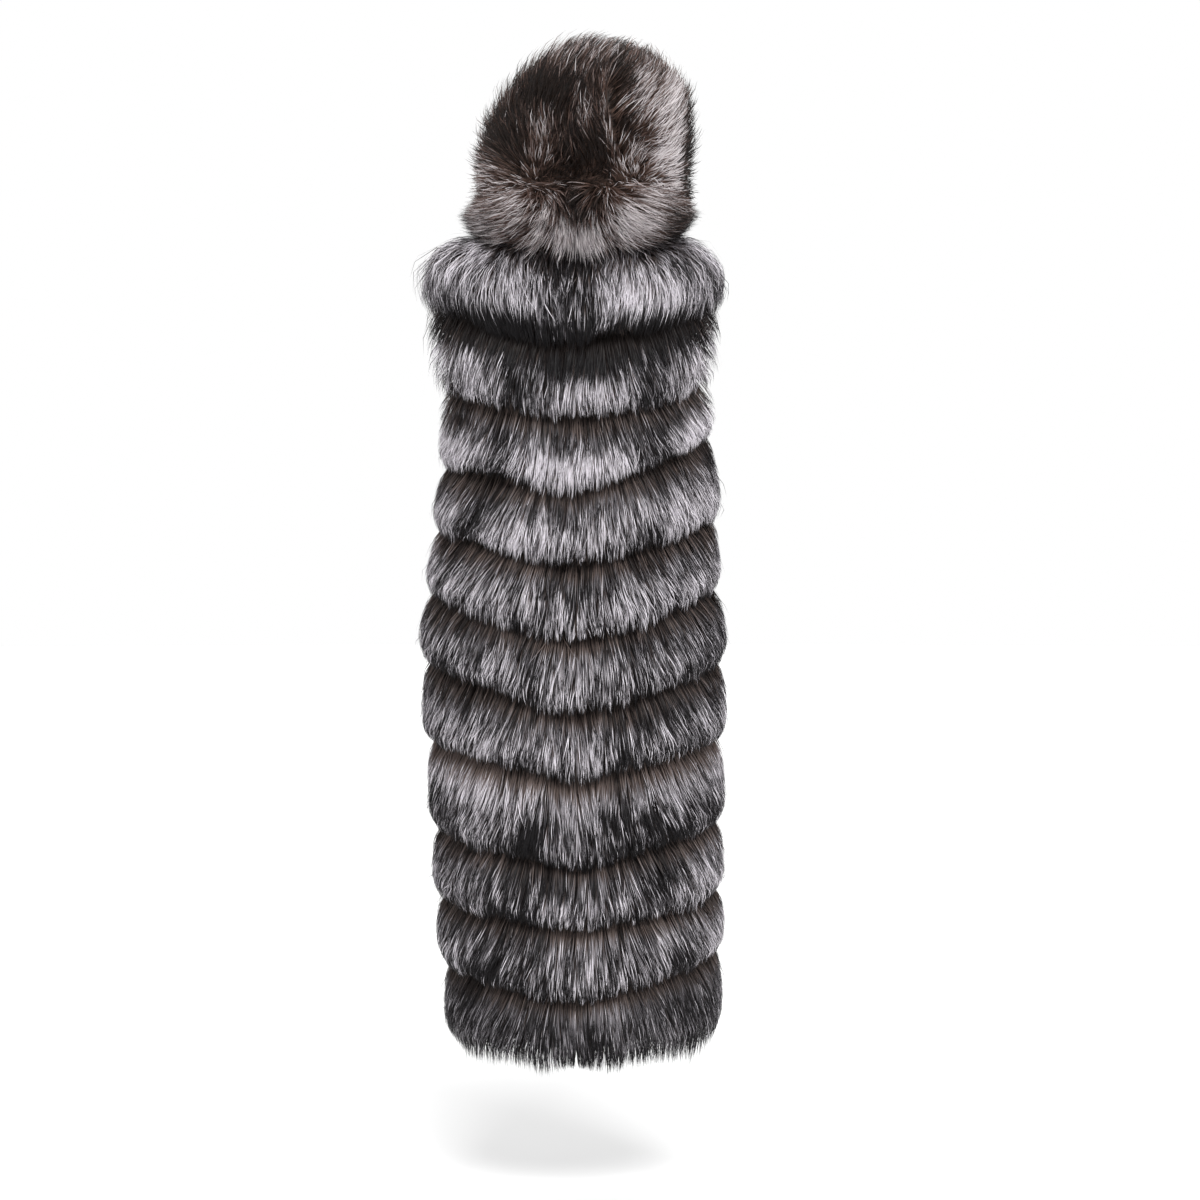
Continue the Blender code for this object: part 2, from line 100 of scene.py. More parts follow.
lens = bpy.data.cameras.new("camera")
lens.lens = lens.sensor_width * CAMERA_AWAY / SHOWN_SPAN
camera = add_object("camera", lens)
camera.location = CAMERA_AIM + Vector((0, CAMERA_AWAY, CAMERA_LIFT))
camera.rotation_euler = aimed(CAMERA_AIM - camera.location)
bpy.context.scene.camera = camera
print("focal length in mm:", round(lens.lens, 1))

# %% [markdown]
# ## Studio
#
# The rows of this vest show by the dark line under each lip, so the light has to come from
# above and keep out of the gaps. One large soft light stands high behind the camera, and a
# second one opposite lights the front. They are suns with a wide angle, because a sun lights
# the whole floor evenly, so that the floor meets the white room without an edge.
#
# The room is white to the camera but gives only a part of that light, as a studio does whose
# walls are further away than they look. The floor is a plain pale disc at shoe level.

# %% Studio
FLOOR_HEIGHT = -1.504
FLOOR_REACH = 30.0
FLOOR_TONE = 0.82
ROOM_GLOW = 0.36
WHITE = (1, 1, 1, 1)
Lamp = namedtuple("Lamp", "name place strength softness")
LAMPS = (
    Lamp("key", (-0.5, 3.0, 3.4), 2.8, 32),
    Lamp("front_key", (0.6, -3.0, 3.2), 2.3, 32),
    Lamp("side_left", (4.0, 0.2, 1.6), 0.4, 40),
    Lamp("side_right", (-4.0, -0.2, 1.6), 0.5, 40),
)

for lamp in LAMPS:
    light = bpy.data.lights.new(lamp.name, "SUN")
    light.energy = lamp.strength
    light.angle = math.radians(lamp.softness)
    add_object(lamp.name, light).rotation_euler = aimed(-Vector(lamp.place))


def white_room():
    """A room that looks white and glows less."""
    room = bpy.data.worlds.new("room")
    room.use_nodes = True
    tree = room.node_tree
    glow, seen = tree.nodes["Background"], tree.nodes.new("ShaderNodeBackground")
    glow.inputs["Color"].default_value = seen.inputs["Color"].default_value = WHITE
    glow.inputs["Strength"].default_value = ROOM_GLOW
    path = tree.nodes.new("ShaderNodeLightPath")
    choice = tree.nodes.new("ShaderNodeMixShader")
    tree.links.new(path.outputs["Is Camera Ray"], choice.inputs["Fac"])
    tree.links.new(glow.outputs["Background"], choice.inputs[1])
    tree.links.new(seen.outputs["Background"], choice.inputs[2])
    tree.links.new(choice.outputs["Shader"], tree.nodes["World Output"].inputs["Surface"])
    return room


bpy.context.scene.world = white_room()
bpy.context.scene.view_settings.view_transform = "Standard"

disc = bmesh.new()
bmesh.ops.create_circle(disc, cap_ends=True, segments=96, radius=FLOOR_REACH)
bmesh.ops.translate(disc, verts=disc.verts, vec=(0, 0, FLOOR_HEIGHT))
floor_mesh = bpy.data.meshes.new("floor")
disc.to_mesh(floor_mesh)
disc.free()
paper = bpy.data.materials.new("white paper")
paper.use_nodes = True
paper_shader = paper.node_tree.nodes["Principled BSDF"]
paper_shader.inputs["Base Color"].default_value = (*[FLOOR_TONE] * 3, 1)
paper_shader.inputs["Roughness"].default_value = 0.9
floor_mesh.materials.append(paper)
floor = add_object("floor", floor_mesh)
print("lamps:", [lamp.name for lamp in LAMPS])

# %% [markdown]
# ## The shape that the vest hangs in
#
# Fur has no surface of its own: the leather has one, and the hairs stand on it. So the first
# thing needed is the leather's shape as a formula that can be asked for any point. It is the
# same one that the solids were made with: rings from the neck seam down, each a little
# squarer than an ellipse, with a smooth curve through every column of the table.
#
# `down` is how far below the neck seam a point lies, `angle` runs from the centre back over
# the worn left. Everything takes whole arrays, because there are a great many hairs to ask for.

# %% Rings of the body
Ring = namedtuple("Ring", "down left right back front z_side z_back z_front")


def level_ring(down, *reaches):
    """A ring below the armholes, which is level."""
    return Ring(down, *reaches, -down, -down, -down)


RINGS = (
    Ring(0.00, 0.085, 0.085, 0.075, 0.085, 0.000, 0.012, -0.050),
    Ring(0.04, 0.122, 0.120, 0.096, 0.100, -0.006, -0.026, -0.084),
    Ring(0.08, 0.165, 0.158, 0.112, 0.113, -0.013, -0.070, -0.118),
    Ring(0.12, 0.200, 0.190, 0.122, 0.122, -0.032, -0.114, -0.150),
    Ring(0.16, 0.212, 0.199, 0.128, 0.129, -0.084, -0.157, -0.180),
    Ring(0.20, 0.207, 0.195, 0.130, 0.134, -0.154, -0.200, -0.212),
    Ring(0.25, 0.193, 0.187, 0.129, 0.137, -0.242, -0.250, -0.252),
    level_ring(0.32, 0.184, 0.185, 0.124, 0.136),
    level_ring(0.40, 0.190, 0.192, 0.120, 0.131),
    level_ring(0.50, 0.200, 0.191, 0.125, 0.128),
    level_ring(0.62, 0.213, 0.200, 0.137, 0.128),
    level_ring(0.74, 0.210, 0.201, 0.143, 0.129),
    level_ring(0.90, 0.198, 0.198, 0.143, 0.131),
    level_ring(1.05, 0.190, 0.198, 0.141, 0.132),
    level_ring(1.17, 0.179, 0.198, 0.138, 0.131),
    level_ring(1.25, 0.174, 0.192, 0.134, 0.128),
    level_ring(1.33, 0.164, 0.180, 0.127, 0.122),
)
RING_SQUARENESS = 2.3
RING_DOWNS = np.array([ring.down for ring in RINGS])


def smooth_slopes(values):
    """The slope at each ring, flat where the column turns and straight on at both ends."""
    rise = np.diff(values) / np.diff(RING_DOWNS)
    product = rise[:-1] * rise[1:]
    total = np.where(product > 0, rise[:-1] + rise[1:], 1)
    inner = np.where(product > 0, 2 * product / total, 0)
    return np.concatenate(([rise[0]], inner, [rise[-1]]))


COLUMNS = {}
for column, *values in zip(Ring._fields, *RINGS):
    COLUMNS[column] = (np.array(values), smooth_slopes(values))


def read(column, down):
    """A column of the table at any distances down, running straight on past the hem."""
    values, slopes = COLUMNS[column]
    row = np.clip(np.searchsorted(RING_DOWNS, down, side="right") - 1, 0, len(RINGS) - 2)
    width = RING_DOWNS[row + 1] - RING_DOWNS[row]
    past = np.maximum(down - RING_DOWNS[-1], 0)
    t = (np.minimum(down, RING_DOWNS[-1]) - RING_DOWNS[row]) / width
    return (
        values[row] * (2 * t**3 - 3 * t**2 + 1)
        + slopes[row] * width * (t**3 - 2 * t**2 + t)
        + values[row + 1] * (3 * t**2 - 2 * t**3)
        + slopes[row + 1] * width * (t**3 - t**2)
        + past * slopes[-1]
    )


print("rings:", len(RINGS))

# %% A point of the leather, and which way is out
SMALL_TURN = 0.004
SMALL_DROP = 0.002


def unit(vectors):
    return vectors / np.maximum(np.linalg.norm(vectors, axis=-1, keepdims=True), 1e-9)


def ramp(value, start, stop):
    """0 at start, 1 at stop, straight between them and level beyond."""
    return np.clip((value - start) / (stop - start), 0, 1)


def body_points(angle, down):
    across, along = np.sin(angle), np.cos(angle)
    reach_x = np.where(across > 0, read("left", down), read("right", down))
    reach_y = np.where(along > 0, read("back", down), read("front", down))
    middle = np.where(along > 0, read("z_back", down), read("z_front", down))
    bow = 2 / RING_SQUARENESS
    x = reach_x * np.sign(across) * np.abs(across) ** bow
    y = reach_y * np.sign(along) * np.abs(along) ** bow
    return np.stack((x, y, read("z_side", down) * across**2 + middle * along**2), axis=-1)


def body_steps(angle, down):
    """Two small steps on the leather: round the body and down."""
    turn = body_points(angle + SMALL_TURN, down) - body_points(angle - SMALL_TURN, down)
    drop = body_points(angle, down + SMALL_DROP) - body_points(angle, down - SMALL_DROP)
    return turn, drop


def body_metres(angle, down):
    """Metres on the leather for each radian round the body, and for each metre of down."""
    turn, drop = body_steps(angle, down)
    return np.linalg.norm(turn, axis=1) / (2 * SMALL_TURN), np.linalg.norm(drop, axis=1) / (2 * SMALL_DROP)


def body_frames(angle, down):
    """The points of the leather and the directions out of it."""
    point = body_points(angle, down)
    turn, drop = body_steps(angle, down)
    outward = unit(np.cross(drop, turn))
    inside_out = (outward * point * (1, 1, 0)).sum(axis=-1) + 0.1 * outward[..., 2] < 0
    outward[inside_out] *= -1
    return point, outward


print("centre back at the waist:", body_points(np.array(0.0), np.array(0.40)).round(3))

# %% [markdown]
# ## How the body is cut
#
# The back is one panel from side seam to side seam, and each front is a panel from its side
# seam to its front edge. A place across a panel is called `u`. The armholes are bites out of
# the panels' edges, which round off at top and bottom. `side` is 0 for the back, 1 for the
# worn left front and -1 for the right one.
#
# A strip's lip ends at its tip line, which hangs lower in the middle of the back than at the
# sides: that gives the V that makes this vest look slim. `pile` is the depth of the
# fur where it is fullest, and the swell table says how it grows along the strip. Towards the
# side seams the fur is fuller, because there it bends round the figure and opens like a fan.

# %% Panels and strips
ARMHOLE_TOP = 0.118
ARMHOLE_BOTTOM = 0.276
ARMHOLE_ROUNDNESS = 0.8
ARMHOLE_BACK = math.radians(27)
ARMHOLE_FRONT = math.radians(29)
FRONT_GAP_TOP = 0.014
FRONT_GAP_HEM = 0.034
Strip = namedtuple("Strip", "tip_back tip_left tip_right tip_front pile")
STRIPS = (
    Strip(0.166, 0.170, 0.168, 0.182, 0.044),
    Strip(0.286, 0.248, 0.242, 0.258, 0.038),
    Strip(0.402, 0.350, 0.300, 0.356, 0.039),
    Strip(0.522, 0.452, 0.432, 0.466, 0.040),
    Strip(0.638, 0.550, 0.545, 0.572, 0.041),
    Strip(0.748, 0.654, 0.658, 0.682, 0.042),
    Strip(0.853, 0.783, 0.780, 0.806, 0.041),
    Strip(0.992, 0.922, 0.912, 0.942, 0.041),
    Strip(1.088, 1.032, 1.024, 1.052, 0.041),
    Strip(1.202, 1.138, 1.116, 1.152, 0.041),
    Strip(1.300, 1.254, 1.250, 1.272, 0.038),
)
HEM = len(STRIPS) - 1
V_SHARPNESS = 0.85
OVERHANG = 0.024
HEM_OVERHANG = 0.034
SWELL_ALONG = (0.0, 0.08, 0.30, 0.56, 0.80, 0.93, 1.0, 1.25)
SWELL_SHARE = (0.25, 0.36, 0.68, 0.91, 1.0, 0.90, 0.80, 0.62)
SIDE_FULLNESS = 0.5
SIDE_FROM = 0.55
SIDE_FULL_AT = 0.85
PANELS = {0: "back", 1: "front_left", -1: "front_right"}


def to_side(side, u):
    """How near places on a panel are to its side seam, where this is 1."""
    return np.abs(u) if side == 0 else 1 - u


def armhole_depth(down):
    return np.sin(math.pi * ramp(down, ARMHOLE_TOP, ARMHOLE_BOTTOM)) ** ARMHOLE_ROUNDNESS


def panel_angle(side, u, down):
    """The angle round the body of a place on a panel."""
    if side == 0:
        return u * (math.pi / 2 - ARMHOLE_BACK * armhole_depth(down) * np.abs(u))
    half_gap = (FRONT_GAP_TOP + (FRONT_GAP_HEM - FRONT_GAP_TOP) * down / RING_DOWNS[-1]) / 2
    edge = math.pi - np.arcsin((half_gap / read("left", down)) ** (RING_SQUARENESS / 2))
    cut = ARMHOLE_FRONT * armhole_depth(down) * (1 - u) ** 2
    return side * (math.pi / 2 + u * (edge - math.pi / 2) + cut)


def tip_line(side, number, u):
    """How far down the lip of a strip ends."""
    strip = STRIPS[number]
    if side == 0:
        tip_side = np.where(u > 0, strip.tip_left, strip.tip_right)
        return strip.tip_back + (tip_side - strip.tip_back) * np.abs(u) ** V_SHARPNESS
    tip_side = strip.tip_left if side == 1 else strip.tip_right
    return tip_side + (strip.tip_front - tip_side) * u


def top_seam(side, number, u):
    return np.zeros_like(u) if number == 0 else tip_line(side, number - 1, u) - OVERHANG


def fur_depth(side, number, u, down):
    """How far the fur of a strip reaches out from the leather."""
    top, tip = top_seam(side, number, u), tip_line(side, number, u)
    share = np.interp((down - top) / (tip - top), SWELL_ALONG, SWELL_SHARE)
    if number > 0:
        share += (1 - share) * SIDE_FULLNESS * ramp(to_side(side, u), SIDE_FROM, SIDE_FULL_AT)
    return STRIPS[number].pile * share


print("strips:", len(STRIPS), "on", len(PANELS), "panels")

# %% [markdown]
# ## Leather
#
# Under the fur is a skin about a millimetre thick, with its suede side inwards. It is what
# shows through the armholes, the neck and the hem. Each strip's leather is a flat grid whose
# points are carried onto the body, and `solidify` gives it its thickness. A grid is used and
# not a cloth simulation, because the shape of a sewn and worn strip is already known.
#
# The flat size that a piece was cut to is measured on it: its longest run each way, and its
# area.

# %% Leather from a grid
LEATHER_THICK = 0.0012
SEAM_GAP = 0.0003
CUT_STEPS = 41
DOUBLES = 1e-5


def link_piece(name, mesh, material):
    """Makes a piece of the vest from its mesh. Its object stays at the origin."""
    mesh.materials.append(material)
    mesh.shade_smooth()
    piece = add_object(name, mesh)
    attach(piece, "root")
    return piece


def cut_size(surface):
    """The width and length of the flat cut: the longest run across and along."""
    steps = np.linspace(0, 1, CUT_STEPS)
    u, share = np.meshgrid(steps, steps)
    points = surface(u.ravel(), share.ravel()).reshape(CUT_STEPS, CUT_STEPS, 3)
    runs = (np.linalg.norm(np.diff(points, axis=way), axis=2).sum(axis=way) for way in (1, 0))
    return tuple(float(run.max()) for run in runs)


def make_leather(name, columns, rows, surface, material):
    """A thin piece of leather on the skin side, and its area."""
    shape = bmesh.new()
    bmesh.ops.create_grid(shape, x_segments=columns, y_segments=rows, size=0.5)
    flat = np.array([vert.co for vert in shape.verts]) + 0.5
    for vert, place in zip(shape.verts, surface(flat[:, 0], flat[:, 1])):
        vert.co = place
    bmesh.ops.remove_doubles(shape, verts=shape.verts, dist=DOUBLES)
    area = sum(face.calc_area() for face in shape.faces)
    bmesh.ops.solidify(shape, geom=shape.faces[:], thickness=LEATHER_THICK)
    bmesh.ops.recalc_face_normals(shape, faces=shape.faces)
    mesh = bpy.data.meshes.new(name)
    shape.to_mesh(mesh)
    shape.free()
    return link_piece(name, mesh, material), area


print("leather in mm:", LEATHER_THICK * 1000)

# %% [markdown]
# ## Shader maths as plain expressions
#
# Node trees are hard to read when they are written link by link. A small class holds one
# output of a node and lets Python's own operators add the Math nodes, so a mask can be
# written as `1 - mask` and a blend as a formula.

# %% A socket that does sums
class Wire:
    """One output socket. Sums, differences and products add Math nodes."""

    def __init__(self, tree, socket):
        self.tree = tree
        self.socket = socket

    def node(self, kind, settings, inputs, output=0):
        """Adds any node: its settings first, then a value or a link for each socket."""
        made = self.tree.nodes.new(kind)
        for setting, value in settings.items():
            setattr(made, setting, value)
        for socket, value in inputs.items():
            if isinstance(value, Wire):
                self.tree.links.new(value.socket, made.inputs[socket])
            else:
                made.inputs[socket].default_value = value
        return Wire(self.tree, made.outputs[output])

    def math(self, operation, first, second):
        return self.node("ShaderNodeMath", {"operation": operation}, {0: first, 1: second})

    def __add__(self, other):
        return self.math("ADD", self, other)

    def __sub__(self, other):
        return self.math("SUBTRACT", self, other)

    def __rsub__(self, other):
        return self.math("SUBTRACT", other, self)

    def __mul__(self, other):
        return self.math("MULTIPLY", self, other)

    __radd__ = __add__
    __rmul__ = __mul__

    def step(self, start, stop):
        """0 below start, 1 above stop, and smooth between. The edges may be wires too."""
        inputs = {"Value": self, "From Min": start, "From Max": stop}
        return self.node("ShaderNodeMapRange", {"interpolation_type": "SMOOTHSTEP"}, inputs)

    def mix(self, low, high):
        """A colour between two, with this wire as the share of the second."""
        low, high = ((*colour, 1) if isinstance(colour, tuple) else colour for colour in (low, high))
        return self.node("ShaderNodeMix", {"data_type": "RGBA"}, {"Factor": self, 6: low, 7: high}, 2)


def new_material(name):
    """A fresh material, its shader and a wire to start from."""
    material = bpy.data.materials.new(name)
    material.use_nodes = True
    shader = material.node_tree.nodes["Principled BSDF"]
    return material, shader, Wire(material.node_tree, None)


print("shader maths is ready")

# %% [markdown]
# ## Suede
#
# The skin side is brushed leather, dyed a dark taupe. It is matt, with a cloudy tone that is
# a few centimetres wide and a nap of about a millimetre, which a bump gives. Both read Object
# coordinates, so they stay the same size on every piece.

# %% Suede
SUEDE_DARK = (0.050, 0.041, 0.036)
SUEDE_PALE = (0.115, 0.097, 0.086)
CLOUD_SCALE = 22
CLOUD_EDGES = (0.32, 0.68)
CLOUD_SHARE = 0.75
NAP_SCALE = 900
NAP_DEPTH = 0.0004
NAP_ROUGHNESS = (0.78, 0.15)


def suede_material(name):
    material, shader, start = new_material(name)
    place = start.node("ShaderNodeTexCoord", {}, {}, "Object")
    cloud, nap = (
        start.node("ShaderNodeTexNoise", {}, {"Vector": place, "Scale": scale, "Detail": detail})
        for scale, detail in ((CLOUD_SCALE, 5), (NAP_SCALE, 2))
    )
    tone = cloud.step(*CLOUD_EDGES) * CLOUD_SHARE + nap * (1 - CLOUD_SHARE)
    bump = start.node("ShaderNodeBump", {}, {"Strength": 0.35, "Distance": NAP_DEPTH, "Height": nap})
    looks = {
        "Base Color": tone.mix(SUEDE_DARK, SUEDE_PALE),
        "Roughness": NAP_ROUGHNESS[0] + NAP_ROUGHNESS[1] * nap,
        "Normal": bump,
    }
    for socket, wire in looks.items():
        material.node_tree.links.new(wire.socket, shader.inputs[socket])
    shader.inputs["Sheen Weight"].default_value = 0.25
    shader.inputs["Sheen Roughness"].default_value = 0.5
    return material


suede = suede_material("taupe suede")
print("material:", suede.name)

# %% [markdown]
# ## The colour of one hair
# At its very root each hair is painted near black, the deep colour: that is painted shade for the bottom of
# the coat.
#
# A silver fox's guard hair is brown-grey at the root, has a silver-white band, and ends in a
# black point. Some hairs are black all the way and some are almost white. So the colour needs
# two numbers only: where along the hair a point is, and what tone of hair it is. Both are
# kept in the hair's own UV map, the tone as U and the way along as V, and every hair of a coat
# can share one material. The map is named OFBake, so that the pattern stays on the hairs in
# the exported model as well. The hood's coat is browner than the body's.
#
# Light that glances off a hair is broad and weak, so the finish is rather rough.

# %% Fur colours
# deep is painted shade: the near-black of the bottom of the coat, where little light comes.
Coat = namedtuple("Coat", "deep root_dark root_pale band_dark band_mid band_pale point")
SILVER_COAT = Coat(
    deep=(0.008, 0.006, 0.005),
    root_dark=(0.016, 0.012, 0.011),
    root_pale=(0.148, 0.112, 0.100),
    band_dark=(0.012, 0.011, 0.012),
    band_mid=(0.190, 0.177, 0.192),
    band_pale=(0.82, 0.78, 0.83),
    point=(0.008, 0.007, 0.008),
)
BROWN_COAT = Coat(
    deep=(0.007, 0.005, 0.004),
    root_dark=(0.016, 0.009, 0.006),
    root_pale=(0.150, 0.092, 0.072),
    band_dark=(0.016, 0.010, 0.008),
    band_mid=(0.142, 0.088, 0.073),
    band_pale=(0.70, 0.65, 0.66),
    point=(0.007, 0.006, 0.006),
)
HAIR_ROUGHNESS = 0.5
HAIR_SHINE = 0.16
HAIR_MAP = "OFBake"
# Tones between which the root, and the two halves of the band's range, change.
ROOT_TONES = (0.10, 0.60)
MID_TONES = (0.20, 0.50)
PALE_TONES = (0.44, 0.84)
# Places along the hair where the root colour takes over from the deep colour's painted shade, where the band
# comes in, and where the point begins.
ROOT_ALONG = (0.01, 0.11)
BAND_ALONG = (0.17, 0.48)
POINT_FROM = 0.56
POINT_LATER = 0.26
POINT_OVER = 0.20
WHITE_TONES = (0.80, 1.0)
WHITE_SPARED = 0.4


def fur_material(name, coat):
    material, shader, start = new_material(name)
    place = start.node("ShaderNodeUVMap", {"uv_map": HAIR_MAP}, {})
    tone, along = (start.node("ShaderNodeSeparateXYZ", {}, {"Vector": place}, way) for way in "XY")
    root = tone.step(*ROOT_TONES).mix(coat.root_dark, coat.root_pale)
    dark_or_mid = tone.step(*MID_TONES).mix(coat.band_dark, coat.band_mid)
    band = tone.step(*PALE_TONES).mix(dark_or_mid, coat.band_pale)
    point_from = POINT_FROM + POINT_LATER * tone
    in_point = along.step(point_from, point_from + POINT_OVER) * (1 - tone.step(*WHITE_TONES) * WHITE_SPARED)
    # Near the root the hair has the deep colour, which is painted shade, before its root colour.
    painted_shade_then_root = along.step(*ROOT_ALONG).mix(coat.deep, root)
    colour = in_point.mix(along.step(*BAND_ALONG).mix(painted_shade_then_root, band), coat.point)
    material.node_tree.links.new(colour.socket, shader.inputs["Base Color"])
    shader.inputs["Roughness"].default_value = HAIR_ROUGHNESS
    shader.inputs["Specular IOR Level"].default_value = HAIR_SHINE
    return material


silver_fur = fur_material("silver fox", SILVER_COAT)
hood_fur = fur_material("dark fox", BROWN_COAT)
print("materials:", silver_fur.name, "and", hood_fur.name)

# %% [markdown]
# ## Hairs as ribbons
#
# One visible strand is a ribbon of five triangles, widest at its first third and pointed at
# its tip. Blender has real hair curves, but a mesh can be exported and measured, and all the
# ribbons are made in a moment when they come from arrays. Four points make the line of a
# hair. The ribbon faces outwards, turned about its own line by a random angle, which gives
# each strand its own light.
#
# `hold` says how late a hair's bands come. It stretches the root's colour along the hair, so
# that no two neighbours change colour at the same height.
#
# Between the roots lies the wool, a plain soft surface in the root's colours darkened with painted shade, so
# that no leather shows between the hairs.

# %% Ribbons
HAIR_STEPS = np.array([0.0, 0.36, 0.70, 1.0])
RIBBON_WIDTHS = np.array([0.80, 1.0, 0.60])
RIBBON_POINTS = 7
RIBBON_CORNERS = np.array([0, 1, 3, 2, 2, 3, 5, 4, 4, 5, 6])
RIBBON_FACES = np.array([0, 4, 8])
ROLL = math.radians(38)
TONE_WIDTH = 0.008
TONE_LIMITS = (0.03, 0.97)
WIDTH_RANGE = (0.7, 1.3)
Strands = namedtuple("Strands", "lines outward width tone hold")


def some_widths(width, count, chance):
    return width * chance.uniform(*WIDTH_RANGE, count)


def bent_lines(root, pull, end):
    """Hairs from root to end that bend towards one pull point."""
    step = HAIR_STEPS[:, None]
    root, pull, end = root[:, None], pull[:, None], end[:, None]
    return root * (1 - step) ** 2 + pull * 2 * step * (1 - step) + end * step**2


def ribbon_corners(strands, chance):
    """Seven corners for each hair: three pairs and a tip."""
    lines = strands.lines
    run = unit(lines[:, 1:] - lines[:, :-1])
    flat = unit(np.cross(run, strands.outward[:, None, :]))
    roll = chance.normal(0, ROLL, len(lines))[:, None, None]
    side = flat * np.cos(roll) + np.cross(run, flat) * np.sin(roll)
    half = side * (strands.width[:, None] * RIBBON_WIDTHS / 2)[..., None]
    corners = np.empty((len(lines), RIBBON_POINTS, 3))
    corners[:, 0:6:2] = lines[:, :3] - half
    corners[:, 1:6:2] = lines[:, :3] + half
    corners[:, 6] = lines[:, 3]
    return corners


def ribbon_map(strands):
    """U is the tone of the hair and V the way along it, at the seven corners."""
    tone = np.clip(strands.tone, *TONE_LIMITS)
    along = HAIR_STEPS / (1 + strands.hold[:, None] * (1 - HAIR_STEPS))
    places = np.empty((len(along), RIBBON_POINTS, 2))
    places[:, :, 0] = tone[:, None] + TONE_WIDTH * np.array([-1, 1, -1, 1, -1, 1, 0])
    places[:, :, 1] = along[:, [0, 0, 1, 1, 2, 2, 3]]
    return places[:, RIBBON_CORNERS]


print("triangles a hair:", len(RIBBON_CORNERS) - 2 * len(RIBBON_FACES))

# %% Wool, and the mesh of a whole fur
WOOL_TONE = 0.36
WOOL_TONE_CHANGE = 0.10
# The wool takes its colour this near the root, so it is partly the deep colour's painted shade.
WOOL_ALONG = 0.07
WOOL_ALONG_CHANGE = 0.04
WOOL_DEEP = 0.9
Wool = namedtuple("Wool", "points outward")


def lay_wool(first, last, columns, rows, find):
    """Wool on a grid, where find gives points and outward directions for u and share."""
    u, share = np.meshgrid(np.linspace(first, last, columns), np.linspace(0, 1, rows))
    points, outward = find(u.ravel(), share.ravel())
    shape = (rows, columns, 3)
    return Wool(points.reshape(shape), np.broadcast_to(outward, points.shape).reshape(shape))


def wool_faces(wool):
    """The corners of the wool's squares, turned so that they face outwards."""
    rows, columns = wool.points.shape[:2]
    index = np.arange(rows * columns).reshape(rows, columns)
    corners = (index[:-1, :-1], index[:-1, 1:], index[1:, 1:], index[1:, :-1])
    squares = np.stack(corners, axis=-1).reshape(-1, 4)
    first, second, _, fourth = (wool.points.reshape(-1, 3)[squares[:, k]] for k in range(4))
    normal = np.cross(second - first, fourth - first)
    inside_out = (normal * wool.outward.reshape(-1, 3)[squares[:, 0]]).sum(axis=1) < 0
    squares[inside_out] = squares[inside_out][:, ::-1]
    return squares


def make_fur(name, strands, wool, material, chance):
    """One mesh with all the hairs of a piece and the wool between them."""
    hair = np.arange(len(strands.lines))[:, None]
    squares = wool_faces(wool)
    corners = ribbon_corners(strands, chance).reshape(-1, 3)
    points = np.concatenate((corners, wool.points.reshape(-1, 3)))
    hair_loops = (hair * RIBBON_POINTS + RIBBON_CORNERS).ravel()
    loops = np.concatenate((hair_loops, squares.ravel() + len(corners)))
    hair_starts = (hair * len(RIBBON_CORNERS) + RIBBON_FACES).ravel()
    starts = np.concatenate((hair_starts, len(hair_loops) + np.arange(len(squares)) * 4))
    wool_tone = WOOL_TONE + WOOL_TONE_CHANGE * np.sin(squares * 2.4)
    wool_along = WOOL_ALONG + WOOL_ALONG_CHANGE * np.cos(squares * 1.7)
    wool_map = np.stack((wool_tone, wool_along), axis=-1).reshape(-1, 2)
    places = np.clip(np.concatenate((ribbon_map(strands).reshape(-1, 2), wool_map)), 0.001, 0.999)
    mesh = bpy.data.meshes.new(name)
    mesh.vertices.add(len(points))
    mesh.vertices.foreach_set("co", points.astype(np.float32).ravel())
    mesh.loops.add(len(loops))
    mesh.loops.foreach_set("vertex_index", loops.astype(np.int32))
    mesh.polygons.add(len(starts))
    mesh.polygons.foreach_set("loop_start", starts.astype(np.int32))
    mesh.update(calc_edges=True)
    mesh.uv_layers.new(name=HAIR_MAP)
    mesh.uv_layers[HAIR_MAP].data.foreach_set("uv", places.astype(np.float32).ravel())
    return link_piece(name, mesh, material)


print("tone of the wool:", WOOL_TONE)

# %% [markdown]
# ## Dressing a solid
#
# Every solid is exchanged in the same way: its leather is made in its worn shape, its fur is made on it, and
# the fur takes the solid's place.

# %% Dress a solid
def dress(node, grid, surface, strands, wool, material, chance):
    """Makes the leather and the fur of a solid, hides the solid and counts the hairs."""
    leather, area = make_leather(f"{node}_leather", *grid, surface, suede)
    width, length = cut_size(surface)
    fur = make_fur(f"{node}_fur", strands, wool, material, chance)
    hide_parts(node)
    return len(strands.lines)


print("solids to dress:", len(frame["nodes"]))

# %% [markdown]
# ## Sowing the roots
#
# Roots are spread evenly over the leather, so a place is drawn at random and kept more often
# where the surface is larger. The number of hairs follows from the measured area.
#
# Two kinds of irregularity make fur look like fur. Neighbouring hairs lean together into
# locks, and tone, lean and length change in waves of several sizes. Both come from a lattice
# of random numbers, with smooth curves between them for the waves. All random numbers come
# from one seeded source for each piece, so the vest is the same each time.

# %% Roots
HAIRS_PER_M2 = 104000
AREA_STEPS = 60
SMALL_STEP = 0.002


def patch_areas(surface, u, share):
    """The area of the surface for each unit of u and share."""
    across = surface(u + SMALL_STEP, share) - surface(u - SMALL_STEP, share)
    along = surface(u, share + SMALL_STEP) - surface(u, share - SMALL_STEP)
    return np.linalg.norm(np.cross(across, along), axis=-1) / (4 * SMALL_STEP**2)


def sow(surface, density, chance):
    """Roots, as u and share from 0 to 1, spread evenly over a surface."""
    middles = (np.arange(AREA_STEPS) + 0.5) / AREA_STEPS
    u, share = (grid.ravel() for grid in np.meshgrid(middles, middles))
    hairs = int(density * patch_areas(surface, u, share).mean())
    u, share = chance.random(4 * hairs), chance.random(4 * hairs)
    total = np.cumsum(patch_areas(surface, u, share))
    picked = np.searchsorted(total, (np.arange(hairs) + chance.random(hairs)) / hairs * total[-1])
    return u[picked], share[picked]


print("hairs on a hand's breadth squared:", int(HAIRS_PER_M2 * 0.1**2))

